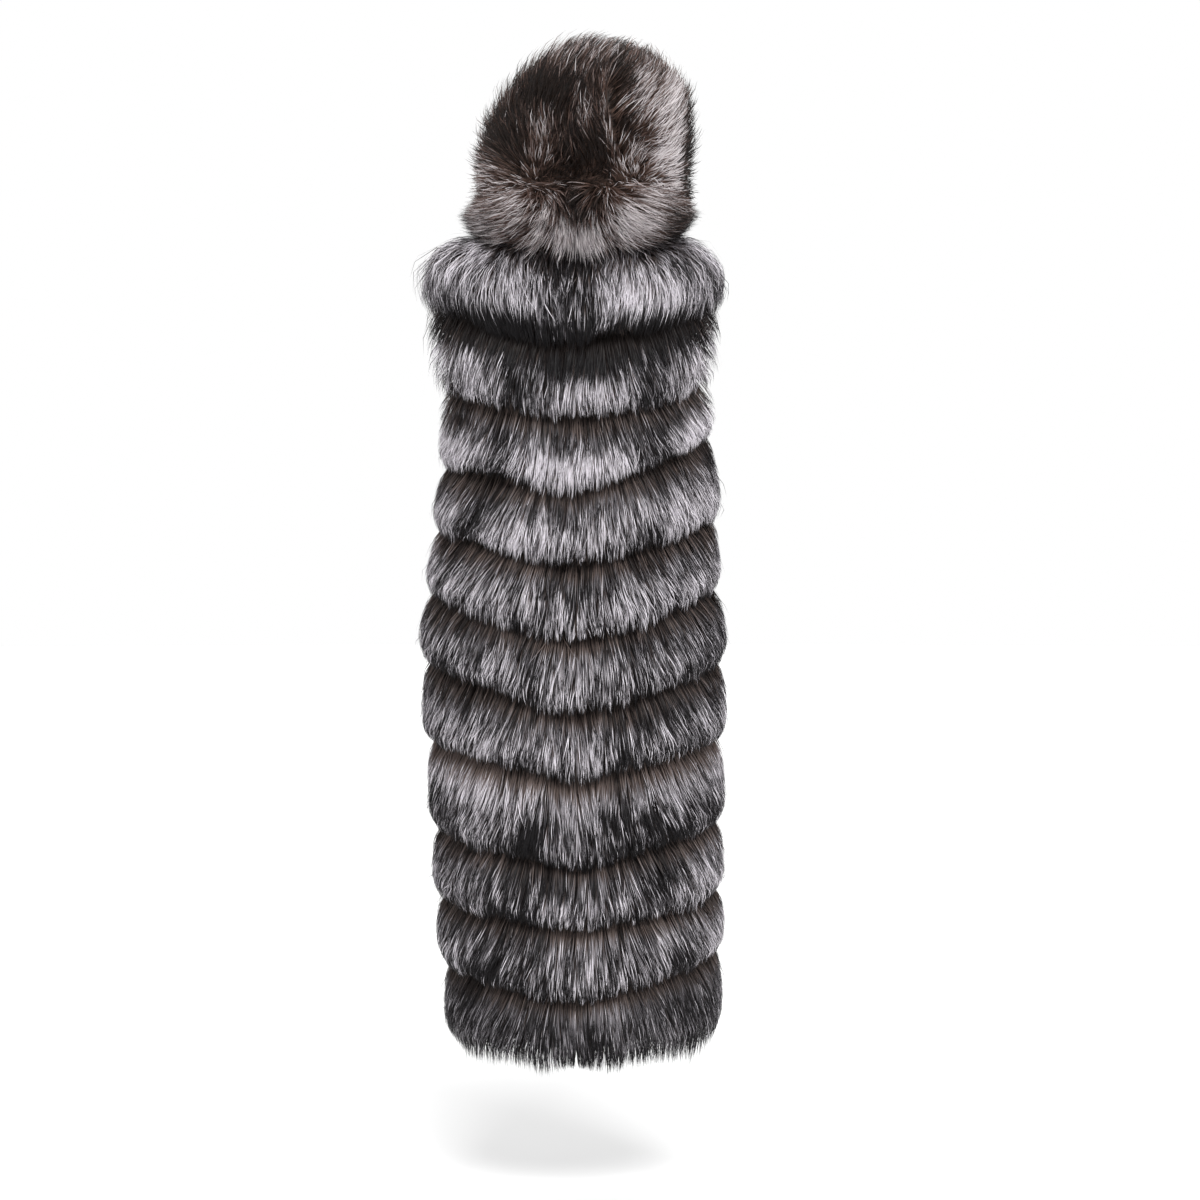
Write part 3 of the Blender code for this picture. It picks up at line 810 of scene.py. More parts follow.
# %% Waves and locks
LATTICE_SIZE = 256
LATTICE = np.random.default_rng(7).random((LATTICE_SIZE, LATTICE_SIZE))
LOCK_EDGE = 0.2
# How strong the waves are, how wide and how high, and where on the lattice they start.
Waves = namedtuple("Waves", "strength wide high start_x start_y", defaults=(0, 0))


def lattice(column, row):
    return LATTICE[column % LATTICE_SIZE, row % LATTICE_SIZE]


def noise(x, y):
    """Smooth noise from -1 to 1 that changes over about one unit."""
    column, row = np.floor(x).astype(int), np.floor(y).astype(int)
    across, along = x - column, y - row
    across, along = across**2 * (3 - 2 * across), along**2 * (3 - 2 * along)
    low = lattice(column, row) * (1 - across) + lattice(column + 1, row) * across
    high = lattice(column, row + 1) * (1 - across) + lattice(column + 1, row + 1) * across
    return 2 * (low * (1 - along) + high * along) - 1


def waves(kinds, x, y):
    """The sum of several kinds of waves."""
    return sum(k.strength * noise(x / k.wide + k.start_x, y / k.high + k.start_y) for k in kinds)


def lock_pull(x, y, size):
    """How far each place is from the middle of its lock, which a lattice cell gives."""
    column, row = np.floor(x / size).astype(int), np.floor(y / size).astype(int)
    middle_x = column + LOCK_EDGE + (1 - 2 * LOCK_EDGE) * lattice(column, row)
    middle_y = row + LOCK_EDGE + (1 - 2 * LOCK_EDGE) * lattice(row, column + 91)
    return middle_x * size - x, middle_y * size - y


print("noise at three places:", noise(np.array([0.2, 5.5, 9.1]), np.array([0.4, 2.2, 7.7])).round(2))

# %% [markdown]
# ## Markings, with painted shade and painted light
#
# The strips are matched so that dark and light patches of the pelts fall in pairs on both sides of the centre
# back. A few patches are in part painted shade under the lips, and two are painted light there, as noted
# where they stand. They are placed one by one: each patch is a soft ellipse with its middle, its half sizes,
# its tilt and how much lighter or darker it makes the hairs there.

# %% Markings, painted shade and painted light on the back
Patch = namedtuple("Patch", "x z wide high change tilt", defaults=(0,))
BACK_PATCHES = (
    # Yoke: bright shoulders and a dark middle that runs down into a tuft
    Patch(0.141, -0.093, 0.070, 0.043, 0.08),
    Patch(-0.133, -0.093, 0.070, 0.043, 0.36),
    Patch(0.010, -0.073, 0.054, 0.062, -0.42),
    Patch(-0.014, -0.150, 0.028, 0.028, -0.15),
    # The black V under the yoke: dark hair, and in part painted shade of the gap under the yoke's lip
    Patch(0.110, -0.146, 0.092, 0.029, -1.2, 0.29),
    Patch(-0.115, -0.146, 0.092, 0.029, -1.2, -0.29),
    Patch(-0.011, -0.194, 0.052, 0.028, -1.2),
    # Rows 2 to 4: dark pairs and the notch at the centre
    Patch(0.089, -0.235, 0.030, 0.027, -0.60),
    Patch(-0.116, -0.228, 0.026, 0.030, -0.60),
    Patch(0.118, -0.341, 0.042, 0.028, -0.60, 0.25),
    Patch(0.118, -0.372, 0.050, 0.012, -0.50, 0.10),
    Patch(-0.125, -0.338, 0.036, 0.030, -0.58, -0.40),
    Patch(-0.011, -0.401, 0.014, 0.012, -0.70),
    Patch(0.172, -0.445, 0.030, 0.022, -0.50),
    Patch(-0.122, -0.455, 0.016, 0.024, -0.48),
    # Rows 8 to 11: black notches in steps, dark hair and in part painted shade in the gaps under the lips,
    # with a pale place above and one below
    Patch(0.138, -0.832, 0.034, 0.014, 0.30, 0.30),
    Patch(0.070, -0.934, 0.015, 0.028, -0.70),
    Patch(-0.124, -0.902, 0.014, 0.022, -0.60),
    Patch(-0.150, -0.932, 0.030, 0.012, -0.35, -0.50),
    Patch(0.098, -1.065, 0.044, 0.013, -0.65, 0.50),
    Patch(-0.141, -1.012, 0.016, 0.026, -0.55),
    Patch(-0.140, -1.096, 0.024, 0.024, 0.24),
    Patch(0.146, -1.142, 0.036, 0.011, -0.65, 0.30),
    Patch(-0.168, -1.125, 0.022, 0.026, -0.38),
    # These two are painted light at the centre, lifting the shade under the lips of rows 9 and 10.
    Patch(-0.020, -1.090, 0.060, 0.018, 0.22),
    Patch(-0.020, -1.205, 0.060, 0.018, 0.22),
    Patch(-0.165, -1.205, 0.034, 0.020, -0.25),
    Patch(0.175, -1.200, 0.022, 0.030, -0.25),
)


def patch_change(patches, x, z):
    """The sum of all patches at places seen from behind."""
    change = np.zeros_like(x)
    for patch in patches:
        cosine, sine = math.cos(patch.tilt), math.sin(patch.tilt)
        aside = ((x - patch.x) * cosine + (z - patch.z) * sine) / patch.wide
        above = ((z - patch.z) * cosine - (x - patch.x) * sine) / patch.high
        change += patch.change * np.exp(-((aside**2 + above**2) ** 1.5))
    return change


print("markings on the back:", len(BACK_PATCHES))

# %% [markdown]
# ## How the hairs of a strip lie
#
# A hair leaves the leather steeply and is combed down, so it rises fast and then runs along
# the surface of the coat. It also leans: outwards over the hips, inwards on the yoke, and out
# over the edge of an armhole. Near the lip the hairs are cut off by the tip line, give or
# take a wisp, and bend in to lie on the next strip. Where a black patch meets a lip, the
# fringe is a little shorter, which leaves a dark notch. The hem is finer and denser, its
# corners are rounded off, and it hangs level across the back.
#
# A few tufts on the shoulders are ruffled and stand up.

# %% Surface and tufts of a strip
GIRTH = 0.20  # metres for each radian round the body, to measure locks and waves in
ROOT_SHARE = 0.30
Tuft = namedtuple("Tuft", "angle down size lift")
SHOULDER_TUFTS = (
    Tuft(math.radians(80), 0.100, 0.012, 0.78),
    Tuft(math.radians(68), 0.080, 0.010, 0.70),
    Tuft(math.radians(84), 0.135, 0.014, 0.70),
    Tuft(math.radians(76), 0.185, 0.014, 0.60),
    Tuft(math.radians(-78), 0.130, 0.014, 0.45),
)


def strip_down(side, number, u, share):
    """How far down places on the leather are, from its top seam to its end under the lip."""
    top = top_seam(side, number, u)
    overhang = HEM_OVERHANG if number == HEM else OVERHANG
    return top + (tip_line(side, number, u) - overhang - top) * share


def strip_surface(side, number, depth_share=0.0):
    """The strip's leather, or a surface in its fur, for u and share from 0 to 1."""

    def surface(u, share):
        across = 2 * u - 1 if side == 0 else u
        down = strip_down(side, number, across, share)
        point, outward = body_frames(panel_angle(side, across, down), down)
        return point + (depth_share * fur_depth(side, number, across, down))[..., None] * outward

    return surface


def tuft_lift(angle, down):
    """How much higher than their neighbours the hairs stand in the ruffled tufts."""
    lift = np.zeros_like(angle)
    for tuft in SHOULDER_TUFTS:
        away = ((angle - tuft.angle) * GIRTH) ** 2 + (down - tuft.down) ** 2
        lift += tuft.lift * np.exp(-away / tuft.size**2)
    return lift


print("ruffled tufts:", len(SHOULDER_TUFTS))

# %% Lean, fringe and tuck of a strip
COMB_OUT = 0.21
YOKE_COMB = -0.35
FRONT_COMB = 0.10
COMB_FULL_AT = 0.35
COMB_SIDE = 0.55
COMB_EASE = 0.70
COMB_ARMHOLE = 0.75
ARMHOLE_NEAR = 0.7
LEAN_WAVES = (Waves(0.13, 0.045, 0.06, 11), Waves(0.091, 0.016, 0.03, 57))
LEAN_RANDOM = 0.04
FRINGE_WAVES = (Waves(0.006, 0.012, 1 / 3),)
LIP_WAVES = (Waves(0.009, 0.045, 1 / 2.3, 17),)
FRINGE_SHORT = 0.006
FRINGE_SOFT = 0.011
NAPE_TUFT = 0.014
POINT_SOFTENED = 0.009
CENTRE_WIDE = 0.07
NOTCH = 0.022
NOTCH_FROM = 0.25
HEM_SMOOTHER = 0.60
HEM_LEVEL = 0.75
HEM_CORNER = 0.050
HEM_CORNER_FROM = 0.62
TUCK = 0.30
TUCK_WAVES = (Waves(0.6, 0.06, 1 / 1.9, 71),)
TUCK_CENTRE = 0.35
TUCK_CENTRE_WIDE = 0.3
TUCK_CENTRE_FROM = 7


def strip_lean(side, number, u, girth, down, chance):
    """How far the hairs lean round the body, as a slope, towards more angle."""
    near = to_side(side, u)
    if side == 0:
        way = np.sign(u)
        ease = np.minimum(near / COMB_FULL_AT, COMB_SIDE + COMB_EASE * (1 - near))
        lean = (YOKE_COMB if number == 0 else COMB_OUT) * way * ease
    else:
        way = -side
        lean = FRONT_COMB * side * u
    lean = lean + COMB_ARMHOLE * way * ramp(near, ARMHOLE_NEAR, 1) ** 2 * armhole_depth(down)
    return lean + waves(LEAN_WAVES, girth, down) + chance.normal(0, LEAN_RANDOM, len(u))


def strip_fringe(side, number, u, girth, tip, chance):
    """How far past the tip line the hairs may reach: ragged, and shorter at black patches."""
    fringe = waves(FRINGE_WAVES, girth, tip) + waves(LIP_WAVES, girth, number)
    soft = FRINGE_SOFT
    if number == HEM:
        soft *= HEM_SMOOTHER
        fringe = fringe / 2 - HEM_CORNER * ramp(to_side(side, u), HEM_CORNER_FROM, 1) ** 2
        if side == 0:
            fringe += HEM_LEVEL * (STRIPS[number].tip_back - tip)
    fringe += FRINGE_SHORT - np.abs(chance.normal(0, soft, len(u)))
    if side == 0:
        centre = NAPE_TUFT if number == 0 else -POINT_SOFTENED
        fringe += centre * np.exp(-((u / CENTRE_WIDE) ** 2))
        if number > 0:
            end = body_points(panel_angle(side, u, tip), tip)
            dark = patch_change(BACK_PATCHES, end[:, 0], end[:, 2])
            fringe += NOTCH * np.minimum(dark + NOTCH_FROM, 0)
    return fringe


def strip_tuck(side, number, u, girth):
    """How much the lip's hairs bend in at their ends, to lie on the strip below."""
    tuck = TUCK * (1 + waves(TUCK_WAVES, girth, number))
    if side == 0 and number >= TUCK_CENTRE_FROM:
        tuck += TUCK_CENTRE * np.exp(-((u / TUCK_CENTRE_WIDE) ** 2))
    return tuck


print("kinds of waves in the lean:", len(LEAN_WAVES))

# %% [markdown]
# ## The tone of a strip
#
# The tone follows the place on the strip. At the top seam the brown-grey wool stays in sight,
# so those hairs hold their root colour longest. The middle is silver, and the lip is mixed
# with black points. Each row has its own tone and contrast, as each is cut from other pelts.

# %% Tone of a strip
# Tone at the top seam, how much paler the silver zone is than usual, and the contrast.
RowTone = namedtuple("RowTone", "top lift contrast")
ROW_TONES = (
    RowTone(0.34, 0.00, 1.25),
    RowTone(0.14, 0.03, 1.3),
    RowTone(0.32, 0.30, 1.3),
    RowTone(0.30, 0.06, 1.4),
    RowTone(0.30, -0.09, 1.6),
    RowTone(0.26, -0.28, 1.6),
    RowTone(0.22, -0.22, 1.5),
    RowTone(0.58, -0.35, 1.45),
    RowTone(0.28, -0.12, 1.5),
    RowTone(0.30, -0.20, 1.45),
    RowTone(0.30, -0.33, 0.95),
)
TONE_ALONG = (0.24, 0.40, 0.60, 0.80, 1.0)
TONE_MIDDLE = (0.62, 0.59, 0.45, 0.24)
TONE_WAVES = (
    Waves(0.25, 0.004, 0.016),
    Waves(0.12, 0.013, 0.05, 40, 9),
    Waves(0.14, 0.07, 0.08, 80, 3),
)
TONE_RANDOM = 0.24
VELVET = 0.35
VELVET_TO = 0.3
HOLD_RANGE = (-0.25, 0.9)
# Near the neck the yoke's hairs hold their root colour, which is both root colour and painted shade under the
# hood.
YOKE_ROOT_AND_SHADE = 4.0
YOKE_ROOT_AND_SHADE_TO = 0.50
BROWN_TOP = 4.0
BROWN_TOP_TO = 0.32
BROWN_CENTRE = 0.55
BROWN_CENTRE_LOW = 0.25
BROWN_SIDE = 0.9
BROWN_WAVES = (Waves(0.4, 0.05, 1 / 3.7, 31),)
LOW_ROWS = 8


def strip_tone(side, number, share, girth, down, points, chance):
    """The tone of each hair, from 0, black, to 1, white."""
    row = ROW_TONES[number]
    tone = np.interp(share, TONE_ALONG, (row.top, *(middle + row.lift for middle in TONE_MIDDLE)))
    change = waves(TONE_WAVES, girth, down) + chance.normal(0, TONE_RANDOM, len(share))
    tone += change * row.contrast * (VELVET + (1 - VELVET) * ramp(share, 0, VELVET_TO))
    if side == 0:
        tone += patch_change(BACK_PATCHES, points[:, 0], points[:, 2])
    return tone


def strip_hold(side, number, u, share, girth, chance):
    """How late along the hair its bands come."""
    hold = chance.uniform(*HOLD_RANGE, len(share))
    # On the yoke the held root colour is partly painted shade under the hood's band.
    if number == 0:
        return hold + YOKE_ROOT_AND_SHADE * ramp(share, YOKE_ROOT_AND_SHADE_TO, 0)
    centre = BROWN_CENTRE if number < LOW_ROWS else BROWN_CENTRE_LOW
    reach = BROWN_TOP_TO * (centre + BROWN_SIDE * to_side(side, u)) * (1 + waves(BROWN_WAVES, girth, number))
    return hold + BROWN_TOP * ramp(share, reach, 0)


print("silver zone of row 3:", round(TONE_MIDDLE[0] + ROW_TONES[2].lift, 2))

# %% Strands of a strip
BODY_HAIR = 0.064
SHORTEST_HAIR = 0.018
LENGTH_RANGE = (0.72, 1.15)
HAIR_WIDTH = 0.00122
LOCK_SMALL = 0.011
LOCK_LARGE = 0.034
STRAY_SHARE = 0.02
STRAY_LONGER = 1.2
STRAY_LEAN = 0.18
LIFT_RANGE = (0.80, 1.06)
STRAY_LIFT = 0.3
TUFT_SHARE = 0.7
TUCK_OVER = 0.032
RISE_POWER = 1.9
HEM_FINE = 0.80
HEM_DENSER = 1.65


def strip_strands(side, number, chance):
    """All the hairs of a strip."""
    density = HAIRS_PER_M2 * (HEM_DENSER if number == HEM else 1)
    u, share = sow(strip_surface(side, number), density, chance)
    u = 2 * u - 1 if side == 0 else u
    count = len(u)
    down, tip = strip_down(side, number, u, share), tip_line(side, number, u)
    angle = panel_angle(side, u, down)
    girth = angle * GIRTH
    metres_round, metres_down = body_metres(angle, down)
    stray = chance.random(count) < STRAY_SHARE
    length = BODY_HAIR * chance.uniform(*LENGTH_RANGE, count) * np.where(stray, STRAY_LONGER, 1)
    lean = strip_lean(side, number, u, girth, down, chance)
    lean += stray * chance.normal(0, STRAY_LEAN, count)
    if side == 0:
        end = np.clip(u + lean * length / metres_round * 2 / math.pi, -1, 1)
        tip = np.minimum(tip, tip_line(side, number, end))
    fringe = strip_fringe(side, number, u, girth, tip, chance)
    length = np.minimum(length, np.maximum((tip + fringe - down) * metres_down, SHORTEST_HAIR))
    small, large = (lock_pull(girth, down, size) for size in (LOCK_SMALL, LOCK_LARGE))
    lift = chance.uniform(*LIFT_RANGE, count) + stray * chance.uniform(0, STRAY_LIFT, count)
    lift += tuft_lift(angle, down) * (chance.random(count) < TUFT_SHARE)
    root_depth = ROOT_SHARE * fur_depth(side, number, u, down)
    tuck = strip_tuck(side, number, u, girth)
    lines, outward = np.empty((count, 4, 3)), [None] * 4
    for i, step in enumerate(HAIR_STEPS):
        aside = lean * length * step + (0.6 * small[0] + 0.12 * large[0]) * step**1.5
        below = length * step / np.sqrt(1 + lean**2) + 0.3 * small[1] * step**2
        here_down = down + below / metres_down
        point, outward[i] = body_frames(angle + aside / metres_round, here_down)
        past = ramp(here_down - tip, -TUCK_OVER, 0) ** 2
        full = fur_depth(side, number, u, here_down) * lift * (1 - tuck * past)
        rise = (np.maximum(full, root_depth) - root_depth) * (1 - (1 - step) ** RISE_POWER)
        lines[:, i] = point + (root_depth + rise)[:, None] * outward[i]
    tone = strip_tone(side, number, share, girth, down + 0.5 * length, lines[:, 2], chance)
    width = some_widths(HAIR_WIDTH * (HEM_FINE if number == HEM else 1), count, chance)
    hold = strip_hold(side, number, u, share, girth, chance)
    return Strands(lines, outward[1], width, tone, hold)


print("longest body hair in mm:", round(1000 * BODY_HAIR * LENGTH_RANGE[1] * STRAY_LONGER))

# %% Make the strips
LEATHER_ROWS = 6
LEATHER_COLUMNS = {0: 36, 1: 18, -1: 18}
WOOL_ROWS = 9
WOOL_COLUMNS = {0: 40, 1: 18, -1: 18}
WOOL_INSET = 0.004
PANEL_WIDE = 0.3  # metres, to turn the gap at a side seam into a share


def strip_leather(side, number):
    """Where the leather lies, just short of its side seams."""
    surface = strip_surface(side, number)
    inset = SEAM_GAP / PANEL_WIDE
    return lambda u, share: surface(inset + (1 - 2 * inset) * u, share)


def strip_wool(side, number):
    """The wool under the hairs, a little in from the strip's edges."""
    skin, top = strip_surface(side, number), strip_surface(side, number, ROOT_SHARE * WOOL_DEEP)

    def find(u, share):
        return top(u, share), top(u, share) - skin(u, share)

    return lay_wool(WOOL_INSET, 1 - WOOL_INSET, WOOL_COLUMNS[side], WOOL_ROWS, find)


hairs = 0
for number in range(len(STRIPS)):
    for side, panel in PANELS.items():
        chance = np.random.default_rng([number, side + 1])
        hairs += dress(
            f"{panel}_row_{number + 1:02d}",
            (LEATHER_COLUMNS[side], LEATHER_ROWS),
            strip_leather(side, number),
            strip_strands(side, number, chance),
            strip_wool(side, number),
            silver_fur,
            chance,
        )
print("hairs on the body:", hairs)

# %% [markdown]
# ## The hood's shape
#
# The hood is an egg, a little squarer than an ellipsoid, and it is asked for a direction from
# its middle: the answer is the point of the leather there and which way is out. Its base and
# its face edge are cut along arches that stand on the base and meet in the centre seam. As it
# is worn, the crown turns and leans a little towards the worn right.

# %% The egg and its arches
HOOD_MIDDLE = np.array([-0.010, 0.004, 0.135])
HOOD_TURN = math.radians(-15)
TURN_FROM = -0.12
TURN_TO = 0.08
HOOD_LEAN = 0.038
LEAN_FROM = -0.035
LEAN_TO = 0.175
HOOD_SIDE = 0.133
HOOD_BACK = 0.132
HOOD_FRONT = 0.128
HOOD_UP = 0.165
HOOD_DOWN = 0.320
HOOD_SQUARENESS = 2.25
NAPE_LIFT = math.radians(-20)
CHIN_LIFT = math.radians(-44)
CHIN_ANGLE = math.radians(150)
BRIM_LEAN = math.radians(42)
ARCH_ANGLE = math.radians(107)
# How far each arch is pulled out and up: at the nape, at the face and between.
ARCH_OUT = (0.94, 1.55, 1.15)
ARCH_HIGH = (-0.34, 0.12, 2.44)


def egg(direction):
    """The leather's points and outward normals, from the hood's middle, before it turns."""
    side = np.full(len(direction), HOOD_SIDE)
    deep = np.where(direction[:, 1] > 0, HOOD_BACK, HOOD_FRONT)
    tall = np.where(direction[:, 2] > 0, HOOD_UP, HOOD_DOWN)
    reach = np.stack((side, deep, tall), axis=1)
    total = (np.abs(direction / reach) ** HOOD_SQUARENESS).sum(axis=1)
    point = direction * total[:, None] ** (-1 / HOOD_SQUARENESS)
    steep = np.sign(point) * np.abs(point / reach) ** (HOOD_SQUARENESS - 1) / reach
    return point, unit(steep)


def worn(point):
    """Turns and leans points of the hood as it is worn."""
    share = ramp(point[:, 2], TURN_FROM, TURN_TO)
    turn = HOOD_TURN * share**2 * (3 - 2 * share)
    lean = HOOD_LEAN * np.maximum((point[:, 2] - LEAN_FROM) / (LEAN_TO - LEAN_FROM), 0) ** 2
    x = point[:, 0] * np.cos(turn) - point[:, 1] * np.sin(turn) - lean
    y = point[:, 0] * np.sin(turn) + point[:, 1] * np.cos(turn)
    return HOOD_MIDDLE + np.stack((x, y, point[:, 2]), axis=1)


def arch_direction(place, up):
    """Directions from the hood's middle: place 0 at the nape to 1 at the face, up 0 at the base."""
    turn = CHIN_ANGLE * place
    lift = NAPE_LIFT + (CHIN_LIFT - NAPE_LIFT) * place**2
    base = np.stack((np.sin(turn) * np.cos(lift), np.cos(turn) * np.cos(lift), np.sin(lift)), axis=1)
    nape_lean = math.pi / 2 - NAPE_LIFT
    lean = nape_lean - (nape_lean + BRIM_LEAN) * place
    top = np.stack((np.zeros_like(lean), np.sin(lean), np.cos(lean)), axis=1)
    out, high = (
        nape * (1 - place) + face * place + between * place * (1 - place)
        for nape, face, between in (ARCH_OUT, ARCH_HIGH)
    )
    turn = ARCH_ANGLE * place
    middle = np.stack((out * np.sin(turn), out * np.cos(turn), high), axis=1)
    up = up[:, None]
    return unit(base * (1 - up) ** 2 + middle * 2 * up * (1 - up) + top * up**2)


def hood_places(side, place, up):
    """Points and normals of the egg for places on the hood. side is 1 or -1, or an array."""
    direction = arch_direction(place, up)
    direction[:, 0] *= side
    return egg(direction)


print("nape of the hood:", worn(hood_places(1, np.array([0.001]), np.array([0.0]))[0]).round(3))

# %% [markdown]
# ## How the hood's hair lies
#
# On the back of the hood the hair grows out of two whorls, one on each side above the nape,
# and streams away from both: up over the crown, round to the face and down to the collar. A
# flow that leaves two springs has the same pattern, so the comb is the sum of the directions
# away from the two whorls. Each hair is laid step by step onto the egg along that flow.
#
# A parting runs up the back, bends to the left and pushes the hair apart. Near a whorl, and
# on a stippled place on the right, the hairs stand up and point every way. Along the base
# some of them are turned down, so that the seam to the nape band is covered. On the upper
# left the fur is thinner and stands up in spikes.

# %% Comb of the hood
HOOD_PILE = 0.043
HOOD_SEAM_PILE = 0.038
HOOD_EDGE_PILE = 0.030
BAND_TOP_PILE = 0.040
WHORLS = np.array([[0.061, 0.119, -0.052], [-0.090, 0.100, -0.052]])
WHORL_STRENGTHS = (1.0, 0.6)
WHORL_SOFT = 0.014
WHORL_SIZE = 0.050
WHORL_LAY = 0.20
PARTING = 11.0
PARTING_WIDE = 0.030
PARTING_AT = -0.069
PARTING_BENDS = 2.4
BACK_HIGH = (-0.03, 0.0)
BELOW_CROWN = (0.12, 0.07)
STIPPLE = np.array([-0.098, 0.098, 0.012])
STIPPLE_SIZE = 0.034
STIPPLE_EDGE = (0.4, 1.4)
UPWARD = 5.0
BASE_FROM = -0.050
BASE_OVER = 0.045
BASE_LAY = 0.30


def hood_pile(place, up):
    """The depth of the hood's fur, which thins towards its seams and the face."""
    depth = HOOD_PILE + (HOOD_SEAM_PILE - HOOD_PILE) * ramp(up, 0.85, 1)
    depth += (BAND_TOP_PILE - depth) * ramp(up, 0.15, 0)
    return depth + (HOOD_EDGE_PILE - depth) * ramp(place, 0.8, 1)


def beside_parting(point):
    """How far each place is from the parting, which runs up the back and bends to the left."""
    return point[:, 0] - PARTING_AT - PARTING_BENDS * np.maximum(point[:, 2], 0) ** 2


def hood_comb(point, normal):
    """The direction in which the hair streams, along the surface, and how flat it lies."""
    flow = np.zeros_like(point)
    lay = np.ones(len(point))
    for whorl, strength in zip(egg(WHORLS)[0], WHORL_STRENGTHS):
        away = point - whorl
        distance = np.linalg.norm(away, axis=1)
        flow += strength * away / (distance**2 + WHORL_SOFT**2)[:, None]
        lay = np.minimum(lay, WHORL_LAY + distance / WHORL_SIZE * (1 - WHORL_LAY))
    height = point[:, 2]
    high = ramp(height, *BACK_HIGH)
    beside = beside_parting(point)
    parted = np.sign(beside) * np.exp(-np.abs(beside) / PARTING_WIDE)
    flow[:, 0] += PARTING * parted * high * ramp(height, *BELOW_CROWN)
    flow[:, 2] += UPWARD * high
    towards = np.linalg.norm(point - STIPPLE, axis=1) / STIPPLE_SIZE
    for flat in (ramp(towards, *STIPPLE_EDGE), np.maximum(height - BASE_FROM, 0) / BASE_OVER):
        lay = np.minimum(lay, BASE_LAY + (1 - BASE_LAY) * flat)
    flow -= (flow * normal).sum(axis=1, keepdims=True) * normal
    return unit(flow), lay


def hood_surface(side):
    """A half of the hood's leather, just short of the centre seam."""
    return lambda place, up: worn(hood_places(side, place, up * (1 - SEAM_GAP))[0])


print("whorls:", len(WHORLS))

# %% [markdown]
# ## The hood's tone
#
# The hood is darker and browner than the body: black on the worn left and along the centre, with one bright
# silver stripe beside the brim on the right. Along the seam between the halves, where the hairs of both sides
# meet, the tone has a painted highlight for a fine pale ridge beside painted shade for a dark furrow.

# %% Tone of the hood
HOOD_TONE = 0.40
HOOD_TONE_WAVES = (Waves(0.21, 0.005, 0.012), Waves(0.17, 0.02, 0.03, 0, 5))
HOOD_TONE_RANDOM = 0.21
# The pale ridge is a painted highlight and the dark furrow is painted shade, both in the hair's tone along
# the seam.
RIDGE_WIDE = 0.004
RIDGE_HIGHLIGHT = 0.20
FURROW_AT = 0.009
FURROW_WIDE = 0.007
FURROW_SHADE = 0.65
RIDGE_FROM = (-0.02, 0.02)
BEHIND = (-1 / 3, 0)
HOOD_PATCHES = (
    Patch(-0.012, 0.262, 0.034, 0.040, -0.22),
    Patch(0.048, 0.252, 0.044, 0.046, -0.54, -0.6),
    Patch(-0.070, 0.275, 0.040, 0.030, -0.12, 0.3),
    Patch(0.014, 0.205, 0.030, 0.018, -0.06),
    Patch(-0.006, 0.134, 0.052, 0.050, -0.42),
    Patch(-0.108, 0.225, 0.032, 0.048, 0.36),
    Patch(-0.148, 0.130, 0.019, 0.118, 1.60, 0.08),
    Patch(-0.186, 0.150, 0.014, 0.110, -0.50),
    Patch(0.112, 0.180, 0.036, 0.050, -0.52, -0.4),
    Patch(0.120, 0.074, 0.050, 0.050, 0.24),
    Patch(-0.088, 0.112, 0.026, 0.048, 0.36),
    Patch(0.000, 0.068, 0.040, 0.022, -0.08),
    Patch(-0.091, 0.036, 0.034, 0.026, 0.30),
)


def hood_tone(root, seen, facing, x, y, chance):
    """The tone of the hood's hairs. seen is where each hair shows most."""
    tone = HOOD_TONE + waves(HOOD_TONE_WAVES, x, y) + chance.normal(0, HOOD_TONE_RANDOM, len(x))
    beside = beside_parting(root)
    # Painted highlight on the ridge of the seam, and painted shade in the furrow beside it.
    seam_light_and_shade = RIDGE_HIGHLIGHT * np.exp(-((beside / RIDGE_WIDE) ** 2))
    seam_light_and_shade -= FURROW_SHADE * np.exp(-(((beside + FURROW_AT) / FURROW_WIDE) ** 2))
    markings_and_seam_light = seam_light_and_shade * ramp(root[:, 2], *RIDGE_FROM) + patch_change(HOOD_PATCHES, seen[:, 0], seen[:, 2])
    return tone + markings_and_seam_light * ramp(facing[:, 1], *BEHIND)


print("markings on the hood:", len(HOOD_PATCHES))

# %% Strands of the hood
HOOD_DENSER = 1.25
HOOD_HAIR = 0.043
HOOD_LENGTH_RANGE = (0.7, 1.15)
HOOD_HAIR_WIDTH = 0.00118
HOOD_HOLD_RANGE = (-0.1, 1.2)
HOOD_ROOT_SHARE = 0.35
HOOD_RISE_POWER = 1.6
TURNED_DOWN = 0.60
TURNED_TO = 0.10
TURNED_LAY = 0.80
WANDER_WAVES = (Waves(0.45, 0.022, 0.022),)
WANDER_RANDOM = 0.16
WANDER_STRAY = 0.4
WHORL_MIX = 1.6
HOOD_LIFT_RANGE = (0.74, 1.06)
HOOD_RUFFLE = 0.34
CROWN = (0.07, 0.12)
CROWN_TILT = 0.22
CROWN_TILT_OVER = 0.045
CROWN_LOW = 0.10
THIN_SIDE = (0.03, 0.07)
THIN_UP = (-0.01, 0.04)
THINNER = 0.36
SPIKES = 0.58


def hood_lift(root, chance):
    """How high the hairs stand, as a share of the fur's depth."""
    count = len(root)
    lift = chance.uniform(*HOOD_LIFT_RANGE, count) + HOOD_RUFFLE * chance.random(count) ** 4
    thin = ramp(root[:, 0], *THIN_SIDE) * ramp(root[:, 2], *THIN_UP)
    lift += thin * (SPIKES * chance.random(count) ** 4 - THINNER)
    tilt = CROWN_TILT * np.clip(root[:, 0] / CROWN_TILT_OVER, -1, 1)
    return lift + ramp(root[:, 2], *CROWN) * (tilt - CROWN_LOW)


